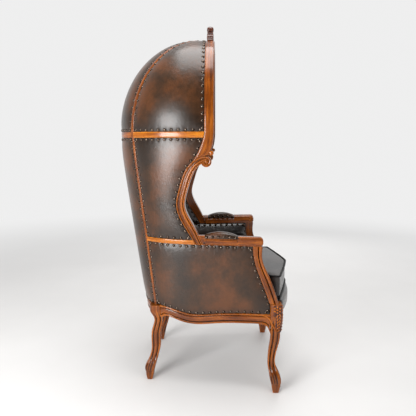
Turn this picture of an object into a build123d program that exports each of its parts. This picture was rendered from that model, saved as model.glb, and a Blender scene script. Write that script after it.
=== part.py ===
from build123d import *
import math
import os

os.makedirs("parts", exist_ok=True)

# Hall porter chair: a tall hooded armchair with show-wood bands and leather panels.
# Millimetres. The origin is on the floor, midway between the sides and under the shoulder
# of the hood plan. +Z is up, the sitter faces -Y, and the sitter's right hand is on -X.

# Driving dimensions of the hood and back
spring_height = 1145.0
hood_rise = 420.0
seat_level = 330.0
body_floor_drop = 50.0
hood_half_width = 290.0
hood_back = 397.0
hood_front = -48.0
shoulder_y = 30.0
body_front = -352.0
seat_side_taper = 11.0
back_ease = 100.0
back_lean_share = 0.157
side_flare_share = 0.14
circle_hold_share = 0.5523
corner_side_hold_share = 0.62
corner_back_hold_share = 0.84
body_level_shares = (0.0, 0.3, 0.55, 0.75, 0.9, 1.0)

# Depths into the wall of the shell, from the outer face of the show wood
leather_inset = 4.0
panel_thickness = 10.0
frame_thickness = 38.0
pad_thickness = 34.0
lining_thickness = 22.0
lining_setback = 6.0
joint_gap = 0.3
full_turn = 360
overrun = 120.0

# Front hoop, posts and wings
hoop_width = 41.0
hoop_edge_radius = 6.0
post_foot_front_setback = 14.0
post_foot_rear_setback = 33.0
post_waist_front_setback = 3.0
post_waist_rear_setback = 8.0
post_waist_height_share = 0.307
post_foot_front_height_share = 0.6535
post_foot_rear_height_share = 0.7795
post_front_heading_shares = (0.45, -0.9)
post_rear_heading_shares = (0.7, -0.7)
straight_down_shares = (0, -1)
straight_back_shares = (1, 0)
volute_y = -15.0
volute_drop = 127.0
volute_radius = 23.0
wing_depth = 131.0
wing_upper_shares = (0.588, 0.944)
wing_mid_shares = (0.893, 0.647)
wing_waist_shares = (1.0, 0.406)
wing_lower_shares = (0.855, 0.209)
wing_foot_shares = (0.55, 0.0)
wing_toe_shares = (0.26, -0.206)
wing_foot_heading_shares = (-0.5, -0.85)
wing_width = 38.0
wing_station_shares = (0.28, 0.45, 0.62, 0.8, 1.0)
wing_thickness = 42.0

# Ribs, stiles and bands
rib_width = 12.0
rib_head_spread = 15.0
rib_foot_x = -181.0
rib_foot_y = 317.0
stile_foot_x = -217.0
stile_foot_y = 219.0
stile_angle = 127.0
band_width = 26.0
arm_band_width = 20.0

# Arms
arm_top = 698.0
arm_height = 41.0
arm_front = -260.0
arm_rear = 72.0
arm_thickness = 46.0
arm_nose_radius = 15.0
manchette_front = -152.0
manchette_rear = -8.0
manchette_sink = 12.0
manchette_rise = 23.0
support_thickness = 40.0
support_top_front = -259.0
support_top_rear = -216.0
support_neck_height_share = 0.8175
support_neck_front = -257.0
support_neck_rear = -220.0
support_bend_height_share = 0.4643
support_bend_front = -290.0
support_bend_rear = -248.0
support_foot_front = -331.0
support_foot_rear = -292.0

# Front legs
knee_rise = 75.0
knee_height = 105.0
knee_overhang = 41.0
knee_width = 47.0
knee_front = -347.0
knee_rear = -292.0
knee_radius = 9.0
leg_corner_share = 0.24
front_leg_top_width = 46.0
front_leg_height_shares = (0.82, 0.667, 0.51, 0.393, 0.29, 0.183, 0.127, 0.0)
front_leg_sweeps_y = (0.5, 7.5, 13.5, 12.5, 2.5, -4.5, -6.0, -5.5)
front_leg_sweeps_x = (-0.5, 3.5, 7.5, 5.5, -3.5, -12.5, -15.5, -16.5)
front_leg_widths = (43.0, 39.0, 34.0, 36.0, 46.0, 48.0, 42.0, 27.0)

# Rear legs
rear_block_setback = 50.0
rear_block_width = 54.0
rear_block_depth = 77.0
rear_block_back_inset = 26.6
rear_block_height = 58.0
rear_leg_top_sweep_x = 5.0
rear_leg_top_sweep_y = -14.5
rear_leg_top_width = 42.0
rear_leg_height_shares = (0.776, 0.528, 0.419, 0.29, 0.188, 0.119, 0.0)
rear_leg_sweeps_y = (-4.5, -2.5, 3.0, 15.5, 26.0, 26.5, 27.5)
rear_leg_sweeps_x = (7.0, 7.0, 5.0, 0.0, -5.0, -6.5, -7.0)
rear_leg_widths = (43.0, 43.0, 40.0, 44.0, 47.0, 40.0, 25.0)

# Seat rails
rail_thickness = 42.0
rail_front_rise = 28.0
rail_front_depth = 46.0
rail_mid_y = -60.0
rail_mid_rise = 16.0
rail_mid_depth = 44.0
rail_low_y = 60.0
rail_low_rise = 9.0
rail_low_depth = 45.0
rail_rear_y = 165.0
rail_rear_rise = 31.0
rail_rear_depth = 43.0
front_rail_bow = -384.0
front_rail_side = -343.0
front_rail_rear = -312.0
front_rail_rise = 16.0
front_rail_depth = 44.0
rebate_rise = 4.0
rebate_width = 16.0

# Seat platform, webbing and blocks
webbing_thickness = 3.0
deck_rise = 82.0
nose_bow = -408.0
nose_side = -352.0
nose_radius = 16.0
dust_cover_thickness = 1.5
dust_cover_drop = 4.0
block_thickness = 17.0
block_leg = 62.0
block_width = 28.0
block_length = 180.0
block_angle_share = 0.125
tack_rail_rise = 42.0
tack_rail_width = 26.0

# Loose seat cushion, with its outline given for the -X half
cushion_thickness = 108.0
cushion_crown = 12.0
cushion_seam_draw = 4.0
cushion_seam_height = 10.0
cushion_crown_draw = 46.0
cushion_bow_y = -403.0
cushion_corner_inset = 9.0
cushion_corner_y = -343.0
cushion_ear_inset = 20.0
cushion_ear_y = -299.0
cushion_neck_inset = 47.0
cushion_neck_y = -292.0
cushion_hip_inset = 87.0
cushion_hip_y = 25.0
cushion_rear_inset = 141.0
cushion_back_gap = 3.2
cushion_back_bow = 57.0

# Crest on the hoop
crest_front = -40.0
crest_height = 65.0
crest_thickness = 27.0
crest_tip_radius = 15.0
crest_lobe_radius = 14.0
crest_lobe_x = 20.0
crest_lobe_drop = 27.0
crest_scroll_radius = 11.0
crest_scroll_x = 48.0
crest_scroll_drop = 52.0
crest_edge_cut = 3.0

# Heights and reaches that follow from the sizes above
body_span = spring_height - seat_level
body_floor = seat_level - body_floor_drop
hood_top_height = spring_height + hood_rise
crest_bead_height = hood_top_height + crest_height - crest_tip_radius
volute_height = spring_height - volute_drop
arm_bottom = arm_top - arm_height
manchette_seat = arm_top - manchette_sink
manchette_top = arm_top + manchette_rise
knee_top = seat_level + knee_rise
knee_bottom = knee_top - knee_height
rail_front_top = seat_level + rail_front_rise
rail_mid_top = seat_level + rail_mid_rise
rail_low_top = seat_level + rail_low_rise
rail_rear_top = seat_level + rail_rear_rise
rail_rear_bottom = rail_rear_top - rail_rear_depth
front_rail_top = seat_level + front_rail_rise
front_rail_bottom = front_rail_top - front_rail_depth
rear_block_bottom = rail_rear_top - rear_block_height
rebate_height = seat_level + rebate_rise
block_bottom = rebate_height - block_thickness
dust_cover_bottom = block_bottom - dust_cover_drop
deck_top = seat_level + deck_rise
tack_rail_bottom = seat_level + tack_rail_rise
arm_band_top = arm_bottom + arm_band_width
band_bottom = spring_height - band_width
hoop_rear = hood_front + hoop_width
pad_inset = frame_thickness + joint_gap
pad_depth = pad_inset + pad_thickness
deck_bottom = rebate_height + webbing_thickness + 2 * joint_gap
cushion_bottom = deck_top + joint_gap
support_neck_height = knee_top + support_neck_height_share * (arm_bottom - knee_top)
support_bend_height = knee_top + support_bend_height_share * (arm_bottom - knee_top)
post_foot_front = hood_front + post_foot_front_setback
post_foot_rear = hoop_rear + post_foot_rear_setback
post_waist_front = hood_front + post_waist_front_setback
post_waist_rear = hoop_rear + post_waist_rear_setback
post_waist_height = spring_height - post_waist_height_share * volute_drop
post_foot_front_height = spring_height - post_foot_front_height_share * volute_drop
post_foot_rear_height = spring_height - post_foot_rear_height_share * volute_drop
knee_outer = -hood_half_width - knee_overhang
knee_inner = knee_outer + knee_width
rear_block_outer = rear_block_setback - hood_half_width
rear_block_inner = rear_block_outer + rear_block_width
cushion_corner_x = cushion_corner_inset - hood_half_width
cushion_ear_x = cushion_ear_inset - hood_half_width
cushion_neck_x = cushion_neck_inset - hood_half_width
cushion_hip_x = cushion_hip_inset - hood_half_width
cushion_rear_x = cushion_rear_inset - hood_half_width
side_reach = 2 * hood_half_width
slab_reach = hood_back


def between(first, last, share):
    """The value at a share of the way from the first to the last."""
    return first + (last - first) * share


def save(piece, name):
    """Write one piece under its own name."""
    piece.label = name
    export_step(piece, os.path.join("parts", name + ".step"))


def save_pair(piece, name):
    """Write the piece of the sitter's right, on -X, and its mirror image of the left."""
    save(piece, name + "_right")
    save(mirror(piece, about=Plane.YZ), name + "_left")


def plan_points(height, inset):
    """Half plan of the shell on the -X side: front, shoulder, two handles and centre back."""
    drop = spring_height - height
    part = drop / body_span
    flare = side_flare_share * (1 - (1 - part) ** 2)
    side_hold_share = between(circle_hold_share, corner_side_hold_share, part)
    back_hold_share = between(circle_hold_share, corner_back_hold_share, part)
    half = hood_half_width - seat_side_taper * part - inset
    back = hood_back - back_lean_share * (math.hypot(drop, back_ease) - back_ease) - inset
    depth = back - shoulder_y
    front_point = (-half - flare * (shoulder_y - body_front), body_front)
    shoulder = (-half, shoulder_y)
    side_handle = (-half + flare * side_hold_share * depth, shoulder_y + side_hold_share * depth)
    back_handle = (-back_hold_share * half, back)
    return front_point, shoulder, side_handle, back_handle, (0, back)


rear_block_rear = plan_points(rail_rear_top, rear_block_back_inset)[-1][1]
rear_block_front = rear_block_rear - rear_block_depth
cushion_back_y = plan_points(cushion_bottom, pad_depth + cushion_back_gap)[-1][1]
cushion_rear_y = cushion_back_y - cushion_back_bow


def body_form(inset):
    """The solid inside the shell below the spring of the hood, at a depth into its wall."""
    with BuildPart() as form:
        for share in body_level_shares:
            height = between(body_floor, spring_height, share)
            front_point, shoulder, side_handle, back_handle, back = plan_points(height, inset)
            with BuildSketch(Plane.XY.offset(height)):
                with BuildLine():
                    Line(front_point, shoulder)
                    Bezier(shoulder, side_handle, back_handle, back)
                    mirror(about=Plane.YZ)
                    Line(front_point, (-front_point[0], body_front))
                make_face()
        loft()
    return form.part


def hood_form(inset):
    """The solid inside the hood: a quarter of an ellipsoid behind a straight elliptic arch."""
    half = hood_half_width - inset
    depth = hood_back - shoulder_y - inset
    rise = hood_rise - inset
    unit_ball = Sphere(1, mode=Mode.PRIVATE)
    ball = scale(unit_ball, by=(half, depth, rise), mode=Mode.PRIVATE)
    ball.position = (0, shoulder_y, spring_height)
    with BuildPart() as form:
        add(ball)
        split(bisect_by=Plane.XY.offset(spring_height), keep=Keep.TOP)
        split(bisect_by=Plane.XZ.offset(-shoulder_y), keep=Keep.BOTTOM)
        with BuildSketch(Plane.XZ.offset(-shoulder_y)):
            with Locations((0, spring_height)):
                Ellipse(half, rise)
                Rectangle(2 * half, rise, align=(Align.CENTER, Align.MAX), mode=Mode.SUBTRACT)
        extrude(amount=shoulder_y - hood_front)
    return form.part


def wall(form, outer, inner):
    """The part of a wall that lies between two depths."""
    outside = form(outer)
    inside = form(inner)
    with BuildPart() as layer:
        add(outside)
        add(inside, mode=Mode.SUBTRACT)
    return layer.part


def side_prism(profile):
    """A prism on the -X side whose profile is drawn in side view, as Y and Z."""
    with BuildPart() as prism:
        with BuildSketch(Plane.YZ):
            add(profile)
        extrude(amount=-side_reach)
    return prism.part


def side_box(front, rear, bottom, top):
    """A prism on the -X side between two places along Y and two heights."""
    with BuildSketch() as profile:
        with Locations((front, bottom)):
            Rectangle(rear - front, top - bottom, align=Align.MIN)
    return side_prism(profile.sketch)


def floor_prism(profile, bottom, thickness):
    """A prism whose profile is drawn in plan and stands at a height."""
    with BuildPart() as prism:
        with BuildSketch(Plane.XY.offset(bottom)):
            add(profile)
        extrude(amount=thickness)
    return prism.part


def strip_corners(point, angle, low, high):
    """Corners in plan of a strip that runs along an angle, between two offsets from a point."""
    along = Vector(1, 0).rotate(Axis.Z, angle)
    across = Vector(along.Y, -along.X)
    start = Vector(*point)
    steps = ((-slab_reach, low), (slab_reach, low), (slab_reach, high), (-slab_reach, high))
    return [start + along * run + across * offset for run, offset in steps]


def rib_slab(low, high):
    """Upright slab along a hood rib, its offsets positive towards the middle of the back."""
    head = Vector(-rib_head_spread, hoop_rear)
    foot = Vector(rib_foot_x, rib_foot_y)
    angle = math.degrees(math.atan2(foot.Y - head.Y, foot.X - head.X))
    with BuildPart() as slab:
        with BuildSketch(Plane.XY.offset(spring_height)):
            with BuildLine():
                Polyline(*strip_corners((foot.X, foot.Y), angle, low, high), close=True)
            make_face()
        extrude(amount=hood_rise)
    return slab.part


def stile_slab(low, high):
    """Leaning slab along a back stile, its offsets positive towards the middle of the back."""
    with BuildPart() as slab:
        for height in (body_floor, spring_height):
            share = (height - seat_level) / body_span
            point = (between(stile_foot_x, rib_foot_x, share), between(stile_foot_y, rib_foot_y, share))
            with BuildSketch(Plane.XY.offset(height)):
                with BuildLine():
                    Polyline(*strip_corners(point, stile_angle, low, high), close=True)
                make_face()
        loft(ruled=True)
    return slab.part


def both_sides(slab):
    """What lies behind a right-hand slab and behind its mirror image as well."""
    mirrored = mirror(slab, about=Plane.YZ, mode=Mode.PRIVATE)
    with BuildPart() as common:
        add(slab)
        add(mirrored, mode=Mode.INTERSECT)
    return common.part


def wing_point(shares, back, up):
    """A point of the wing rail in side view, from shares of its depth and its height."""
    y = volute_y + shares[0] * wing_depth
    height = arm_top + shares[1] * (volute_height - arm_top)
    return (y + back, height + up)


def wing_rear_edge(shift, mode=Mode.ADD):
    """Rear edge of the wing rail in side view, from the top of its volute to the arm."""
    points = (
        (volute_y, volute_height + volute_radius + shift),
        wing_point(wing_upper_shares, shift, shift),
        wing_point(wing_mid_shares, shift, 0),
        wing_point(wing_waist_shares, shift, 0),
        wing_point(wing_lower_shares, shift, 0),
        wing_point(wing_foot_shares, shift, 0),
        wing_point(wing_toe_shares, shift, 0),
    )
    return Spline(*points, tangents=(straight_back_shares, wing_foot_heading_shares), mode=mode)


def wing_front_edge(shift):
    """Front edge of the wing rail, a rail's width inside its rear edge."""
    edge = wing_rear_edge(0, Mode.PRIVATE)
    points = [Vector(volute_y - shift, volute_height)]
    for share in wing_station_shares:
        tangent = edge % share
        corner = edge @ share + Vector(tangent.Y, -tangent.X) * wing_width
        points.append(corner - Vector(shift, 0))
    return Spline(*points)


def wing_opening(shift):
    """Everything behind the wing rail's front edge."""
    with BuildSketch() as profile:
        with BuildLine():
            edge = wing_front_edge(shift)
            Polyline(edge @ 1, (slab_reach, (edge @ 1).Y), (slab_reach, volute_height), edge @ 0)
        make_face()
    return side_prism(profile.sketch)


def wing_field(shift):
    """Everything in front of the wing rail's rear edge and under its volute's top."""
    with BuildSketch() as profile:
        with BuildLine():
            edge = wing_rear_edge(shift)
            Polyline(edge @ 0, (body_front, (edge @ 0).Y), (body_front, (edge @ 1).Y), edge @ 1)
        make_face()
    return side_prism(profile.sketch)


def post_rear_edge(shift):
    """Rear edge of the front post in side view, from the band down to the wing rail."""
    points = (
        (hoop_rear + shift, spring_height),
        (post_waist_rear + shift, post_waist_height),
        (post_foot_rear + shift, post_foot_rear_height),
        wing_point(wing_upper_shares, shift, 0),
    )
    return Spline(*points, tangents=(straight_down_shares, post_rear_heading_shares))


def post_field(shift):
    """Everything in front of the post's rear edge."""
    with BuildSketch() as profile:
        with BuildLine():
            edge = post_rear_edge(shift)
            Polyline(edge @ 1, (body_front, (edge @ 1).Y), (body_front, spring_height), edge @ 0)
        make_face()
    return side_prism(profile.sketch)


def support_edge(top_y, neck_y, bend_y, foot_y):
    """One edge of the arm support in side view, from the arm down to the knee."""
    points = (
        (top_y, arm_bottom),
        (neck_y, support_neck_height),
        (bend_y, support_bend_height),
        (foot_y, knee_top),
    )
    return Spline(*points)


def support_field(shift):
    """Everything in front of the arm support's rear edge."""
    with BuildSketch() as profile:
        with BuildLine():
            edge = support_edge(
                support_top_rear + shift,
                support_neck_rear + shift,
                support_bend_rear + shift,
                support_foot_rear + shift,
            )
            Polyline(
                edge @ 1,
                (support_foot_rear + shift, body_floor),
                (body_front, body_floor),
                (body_front, arm_bottom),
                edge @ 0,
            )
        make_face()
    return side_prism(profile.sketch)


def rail_edge(front, middle, low, rear, shift):
    """One edge of the side rail in side view, given its heights from front to rear."""
    points = (
        (knee_rear, front + shift),
        (rail_mid_y, middle + shift),
        (rail_low_y, low + shift),
        (rail_rear_y, rear + shift),
        (rear_block_rear, rear + shift),
    )
    return Spline(*points)


def rail_field(shift):
    """Everything under the top edge of the side rail."""
    with BuildSketch() as profile:
        with BuildLine():
            edge = rail_edge(rail_front_top, rail_mid_top, rail_low_top, rail_rear_top, shift)
            Polyline(
                edge @ 0,
                (body_front, rail_front_top + shift),
                (body_front, body_floor),
                (rear_block_rear, body_floor),
                edge @ 1,
            )
        make_face()
    return side_prism(profile.sketch)


def cushion_section(draw):
    """Plan of the seat cushion, drawn in from its full outline."""
    corner = (cushion_corner_x + draw, cushion_corner_y + draw)
    rear = (cushion_rear_x + draw, cushion_rear_y - draw)
    with BuildSketch() as plan:
        with BuildLine():
            ThreePointArc(corner, (0, cushion_bow_y + draw), (-corner[0], corner[1]))
            half = Polyline(
                corner,
                (cushion_ear_x + draw, cushion_ear_y),
                (cushion_neck_x + draw, cushion_neck_y),
                (cushion_hip_x + draw, cushion_hip_y),
                rear,
            )
            mirror(half, about=Plane.YZ)
            ThreePointArc(rear, (0, cushion_back_y - draw), (-rear[0], rear[1]))
        make_face()
    return plan.sketch


def seat_field(front):
    """Plan of the seat frame's inside, clear of its knees and rear blocks."""
    block_front = rear_block_front - joint_gap
    with BuildSketch() as plan:
        with Locations((0, front)):
            Rectangle(
                -2 * (knee_inner + joint_gap), block_front - front, align=(Align.CENTER, Align.MIN)
            )
        with Locations((0, block_front)):
            Rectangle(
                -2 * (rear_block_inner + joint_gap), slab_reach, align=(Align.CENTER, Align.MIN)
            )
    return plan.sketch


def leg_stations(centre, heights, sweeps_x, sweeps_y, widths):
    """Sections of a leg as (height, x, y, width), swept away from the centre of its block."""
    return tuple(
        (height, centre[0] + sweep_x, centre[1] + sweep_y, width)
        for height, sweep_x, sweep_y, width in zip(heights, sweeps_x, sweeps_y, widths)
    )


def leg_shaft(top, stations):
    """A leg below its block, through rounded square sections as (height, x, y, width)."""
    with BuildPart() as shaft:
        for height, centre_x, centre_y, width in (top,) + stations:
            with BuildSketch(Plane.XY.offset(height)):
                with Locations((centre_x, centre_y)):
                    RectangleRounded(width, width, leg_corner_share * width)
        loft(ruled=True)
    return shaft.part


# Walls at the depths that the pieces share
body_wood = wall(body_form, 0, frame_thickness)
body_core = wall(body_form, leather_inset + panel_thickness + joint_gap, frame_thickness)
body_leather = wall(body_form, leather_inset, leather_inset + panel_thickness)
body_pad = wall(body_form, pad_inset, pad_depth)
hood_wood = wall(hood_form, 0, frame_thickness)
hood_leather = wall(hood_form, leather_inset, leather_inset + panel_thickness)

rib_half = rib_width / 2
behind_stiles = both_sides(stile_slab(rib_half + joint_gap, side_reach))
behind_ribs = both_sides(rib_slab(rib_half + joint_gap, side_reach))
past_stile = stile_slab(-rib_half - joint_gap, side_reach)
past_rib = rib_slab(-rib_half - joint_gap, side_reach)

# Front hoop: one bent elliptic arch of show wood
with BuildPart() as front_hoop:
    with BuildSketch(Plane.XZ.offset(-hoop_rear)):
        with Locations((0, spring_height)):
            Ellipse(hood_half_width, hood_rise)
            Ellipse(
                hood_half_width - frame_thickness,
                hood_rise - frame_thickness,
                mode=Mode.SUBTRACT,
            )
            Rectangle(side_reach, hood_rise, align=(Align.CENTER, Align.MAX), mode=Mode.SUBTRACT)
    extrude(amount=hoop_width)
    fillet(front_hoop.edges().group_by(Axis.Y)[0].sort_by(SortBy.LENGTH)[-1], hoop_edge_radius)
save(front_hoop.part, "front_hoop")

# Front posts: the hoop's feet, swept back and cut to the wing rails' scrolls
with BuildSketch() as post_profile:
    with BuildLine():
        rear_edge = post_rear_edge(0)
        front_edge = Spline(
            (hood_front, spring_height),
            (post_waist_front, post_waist_height),
            (post_foot_front, post_foot_front_height),
            tangents=(straight_down_shares, post_front_heading_shares),
        )
        Line(rear_edge @ 0, front_edge @ 0)
        Polyline(rear_edge @ 1, (post_foot_front, (rear_edge @ 1).Y), front_edge @ 1)
    make_face()

with BuildPart() as front_post:
    add(body_wood)
    add(side_prism(post_profile.sketch), mode=Mode.INTERSECT)
    add(wing_field(joint_gap), mode=Mode.SUBTRACT)
save_pair(front_post.part, "front_post")

# Crest: a carved bead over two lobes and two scrolls, seated on the top of the hoop
with BuildPart() as crest:
    with BuildSketch(Plane.XZ.offset(-crest_front - crest_thickness)):
        with Locations((0, crest_bead_height)):
            Circle(crest_tip_radius)
        with Locations(
            (-crest_lobe_x, crest_bead_height - crest_lobe_drop),
            (crest_lobe_x, crest_bead_height - crest_lobe_drop),
        ):
            Circle(crest_lobe_radius)
        with Locations(
            (-crest_scroll_x, crest_bead_height - crest_scroll_drop),
            (crest_scroll_x, crest_bead_height - crest_scroll_drop),
        ):
            Circle(crest_scroll_radius)
        with BuildLine():
            Polyline(
                (-crest_scroll_x, hood_top_height - crest_scroll_radius - crest_scroll_radius),
                (-crest_scroll_x, crest_bead_height - crest_scroll_drop),
                (-crest_lobe_x, crest_bead_height - crest_lobe_drop),
                (0, crest_bead_height),
                (crest_lobe_x, crest_bead_height - crest_lobe_drop),
                (crest_scroll_x, crest_bead_height - crest_scroll_drop),
                (crest_scroll_x, hood_top_height - crest_scroll_radius - crest_scroll_radius),
                close=True,
            )
        make_face()
        with Locations((0, spring_height)):
            Ellipse(
                hood_half_width + joint_gap,
                hood_rise + joint_gap,
                mode=Mode.SUBTRACT,
            )
    extrude(amount=crest_thickness)
    chamfer(crest.edges().filter_by(GeomType.CIRCLE), crest_edge_cut)
save(crest.part, "crest")

# Wing rails: the C-curved fronts of the wings, from a scroll at the top down to the arms
with BuildSketch() as wing_profile:
    with BuildLine():
        rear_edge = wing_rear_edge(0)
        front_edge = wing_front_edge(0)
        Line(rear_edge @ 0, front_edge @ 0)
        Line(rear_edge @ 1, front_edge @ 1)
    make_face()
    with Locations((volute_y, volute_height)):
        Circle(volute_radius)
    with Locations((body_front, arm_bottom)):
        Rectangle(
            slab_reach - body_front, arm_height, align=(Align.MIN, Align.MAX), mode=Mode.SUBTRACT
        )

with BuildPart() as wing_rail:
    add(wall(body_form, 0, wing_thickness))
    add(side_prism(wing_profile.sketch), mode=Mode.INTERSECT)
save_pair(wing_rail.part, "wing_rail")

# Hood ribs, between the crest and the band
with BuildPart() as hood_rib:
    add(hood_wood)
    add(rib_slab(-rib_half, rib_half), mode=Mode.INTERSECT)
    split(bisect_by=Plane.XZ.offset(-hoop_rear - joint_gap), keep=Keep.BOTTOM)
save_pair(hood_rib.part, "hood_rib")

# Back stiles, between the band and the rear legs
with BuildPart() as back_stile:
    add(body_wood)
    add(stile_slab(-rib_half, rib_half), mode=Mode.INTERSECT)
    split(bisect_by=Plane.XY.offset(rail_rear_top + joint_gap), keep=Keep.TOP)
save_pair(back_stile.part, "back_stile")

# Bands at the spring of the hood and level with the arms
with BuildPart() as side_band:
    add(body_wood)
    add(side_box(body_front, slab_reach, band_bottom, spring_height), mode=Mode.INTERSECT)
    add(post_field(joint_gap), mode=Mode.SUBTRACT)
    add(past_stile, mode=Mode.SUBTRACT)
save_pair(side_band.part, "side_band")

with BuildPart() as back_band:
    add(body_wood)
    add(behind_stiles, mode=Mode.INTERSECT)
    split(bisect_by=Plane.XY.offset(band_bottom), keep=Keep.TOP)
save(back_band.part, "back_band")

with BuildPart() as arm_band:
    add(body_wood)
    add(side_box(body_front, slab_reach, arm_bottom, arm_band_top), mode=Mode.INTERSECT)
    add(wing_field(joint_gap), mode=Mode.SUBTRACT)
    add(past_stile, mode=Mode.SUBTRACT)
save_pair(arm_band.part, "arm_band")

# Arms: a rail with a seat cut for its leather pad
with BuildSketch() as arm_profile:
    with Locations((arm_front, arm_bottom)):
        Rectangle(arm_rear - arm_front, arm_top - arm_bottom, align=Align.MIN)
    fillet(arm_profile.vertices().group_by(Axis.X)[0], arm_nose_radius)

with BuildPart() as arm_rail:
    add(wall(body_form, 0, arm_thickness))
    add(side_prism(arm_profile.sketch), mode=Mode.INTERSECT)
    add(
        side_box(manchette_front, manchette_rear, manchette_seat, arm_top + overrun),
        mode=Mode.SUBTRACT,
    )
    add(wing_opening(joint_gap), mode=Mode.SUBTRACT)
save_pair(arm_rail.part, "arm_rail")

with BuildSketch() as manchette_profile:
    with BuildLine():
        pad_front = manchette_front + joint_gap
        pad_rear = manchette_rear - joint_gap
        pad_base = manchette_seat + joint_gap
        Polyline((pad_front, arm_top), (pad_front, pad_base), (pad_rear, pad_base), (pad_rear, arm_top))
        ThreePointArc(
            (pad_front, arm_top), ((pad_front + pad_rear) / 2, manchette_top), (pad_rear, arm_top)
        )
    make_face()

with BuildPart() as manchette:
    add(wall(body_form, 0, arm_thickness))
    add(side_prism(manchette_profile.sketch), mode=Mode.INTERSECT)
save_pair(manchette.part, "manchette")

with BuildSketch() as support_profile:
    with BuildLine():
        front_side = support_edge(
            support_top_front, support_neck_front, support_bend_front, support_foot_front
        )
        rear_side = support_edge(
            support_top_rear, support_neck_rear, support_bend_rear, support_foot_rear
        )
        Line(front_side @ 0, rear_side @ 0)
        Line(front_side @ 1, rear_side @ 1)
    make_face()

with BuildPart() as arm_support:
    add(wall(body_form, 0, support_thickness))
    add(side_prism(support_profile.sketch), mode=Mode.INTERSECT)
save_pair(arm_support.part, "arm_support")

# Legs: squared blocks in the corners of the seat frame over legs that curve out to their toes
front_knee = (
    (knee_outer + knee_inner) / 2,
    (knee_front + knee_rear) / 2,
)
front_leg_stations = leg_stations(
    front_knee,
    [share * knee_bottom for share in front_leg_height_shares],
    front_leg_sweeps_x,
    front_leg_sweeps_y,
    front_leg_widths,
)
front_leg_top = (knee_bottom, *front_knee, front_leg_top_width)

with BuildPart() as front_leg:
    with BuildSketch(Plane.XY.offset(knee_bottom)):
        with Locations(front_knee):
            RectangleRounded(knee_inner - knee_outer, knee_rear - knee_front, knee_radius)
    extrude(amount=knee_top - joint_gap - knee_bottom)
    add(leg_shaft(front_leg_top, front_leg_stations))
save_pair(front_leg.part, "front_leg")

with BuildSketch() as rear_footprint:
    with Locations((rear_block_outer, rear_block_front)):
        Rectangle(
            rear_block_inner - rear_block_outer, rear_block_rear - rear_block_front, align=Align.MIN
        )
rear_block_centre = (
    (rear_block_outer + rear_block_inner) / 2,
    (rear_block_front + rear_block_rear) / 2,
)
rear_leg_stations = leg_stations(
    rear_block_centre,
    [share * rear_block_bottom for share in rear_leg_height_shares],
    rear_leg_sweeps_x,
    rear_leg_sweeps_y,
    rear_leg_widths,
)
rear_leg_top = (
    rear_block_bottom,
    rear_block_centre[0] + rear_leg_top_sweep_x,
    rear_block_centre[1] + rear_leg_top_sweep_y,
    rear_leg_top_width,
)

with BuildPart() as rear_leg:
    add(body_form(0))
    add(
        floor_prism(rear_footprint.sketch, rear_block_bottom, rear_block_height),
        mode=Mode.INTERSECT,
    )
    add(leg_shaft(rear_leg_top, rear_leg_stations))
save_pair(rear_leg.part, "rear_leg")

# Seat rails: serpentine sides, a plain rear and a bowed front, rebated for the webbing
with BuildPart() as rebate:
    add(body_form(rail_thickness - rebate_width))
    split(bisect_by=Plane.XY.offset(rebate_height), keep=Keep.TOP)

with BuildSketch() as rail_profile:
    with BuildLine():
        top_edge = rail_edge(rail_front_top, rail_mid_top, rail_low_top, rail_rear_top, 0)
        bottom_edge = rail_edge(
            rail_front_top - rail_front_depth,
            rail_mid_top - rail_mid_depth,
            rail_low_top - rail_low_depth,
            rail_rear_bottom,
            0,
        )
        Line(top_edge @ 0, bottom_edge @ 0)
        Line(top_edge @ 1, bottom_edge @ 1)
    make_face()

with BuildPart() as side_rail:
    add(wall(body_form, 0, rail_thickness))
    add(side_prism(rail_profile.sketch), mode=Mode.INTERSECT)
    split(bisect_by=Plane.XZ.offset(-rear_block_front + joint_gap), keep=Keep.TOP)
    split(bisect_by=Plane.XZ.offset(-knee_rear - joint_gap), keep=Keep.BOTTOM)
    add(rebate.part, mode=Mode.SUBTRACT)
save_pair(side_rail.part, "side_rail")

with BuildSketch() as rear_span:
    with Locations((0, rear_block_front)):
        Rectangle(
            -2 * (rear_block_inner + joint_gap), slab_reach, align=(Align.CENTER, Align.MIN)
        )
rear_rail_height = rail_rear_top - rail_rear_bottom

with BuildPart() as rear_rail:
    add(wall(body_form, 0, rail_thickness))
    add(floor_prism(rear_span.sketch, rail_rear_bottom, rear_rail_height), mode=Mode.INTERSECT)
    add(rebate.part, mode=Mode.SUBTRACT)
save(rear_rail.part, "rear_rail")

with BuildPart() as front_rail:
    rail_half = -knee_inner - joint_gap
    with BuildSketch(Plane.XY.offset(front_rail_bottom)):
        with BuildLine():
            ThreePointArc(
                (-rail_half, front_rail_side), (0, front_rail_bow), (rail_half, front_rail_side)
            )
            Polyline(
                (-rail_half, front_rail_side),
                (-rail_half, front_rail_rear),
                (rail_half, front_rail_rear),
                (rail_half, front_rail_side),
            )
        make_face()
    extrude(amount=front_rail_top - front_rail_bottom)
    with BuildSketch(Plane.XY.offset(rebate_height)):
        with Locations((0, front_rail_rear)):
            Rectangle(2 * rail_half, rebate_width, align=(Align.CENTER, Align.MAX))
    extrude(amount=front_rail_top - rebate_height, mode=Mode.SUBTRACT)
save(front_rail.part, "front_rail")

# Corner blocks glued inside the seat frame
with BuildPart() as front_block:
    block_x = knee_inner + joint_gap
    block_y = front_rail_rear + joint_gap
    with BuildSketch(Plane.XY.offset(block_bottom)):
        with BuildLine():
            Polyline(
                (block_x, block_y),
                (block_x + block_leg, block_y),
                (block_x, block_y + block_leg),
                close=True,
            )
        make_face()
    extrude(amount=rebate_height - block_bottom)
    add(body_form(rail_thickness + joint_gap), mode=Mode.INTERSECT)
save_pair(front_block.part, "front_corner_block")

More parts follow.
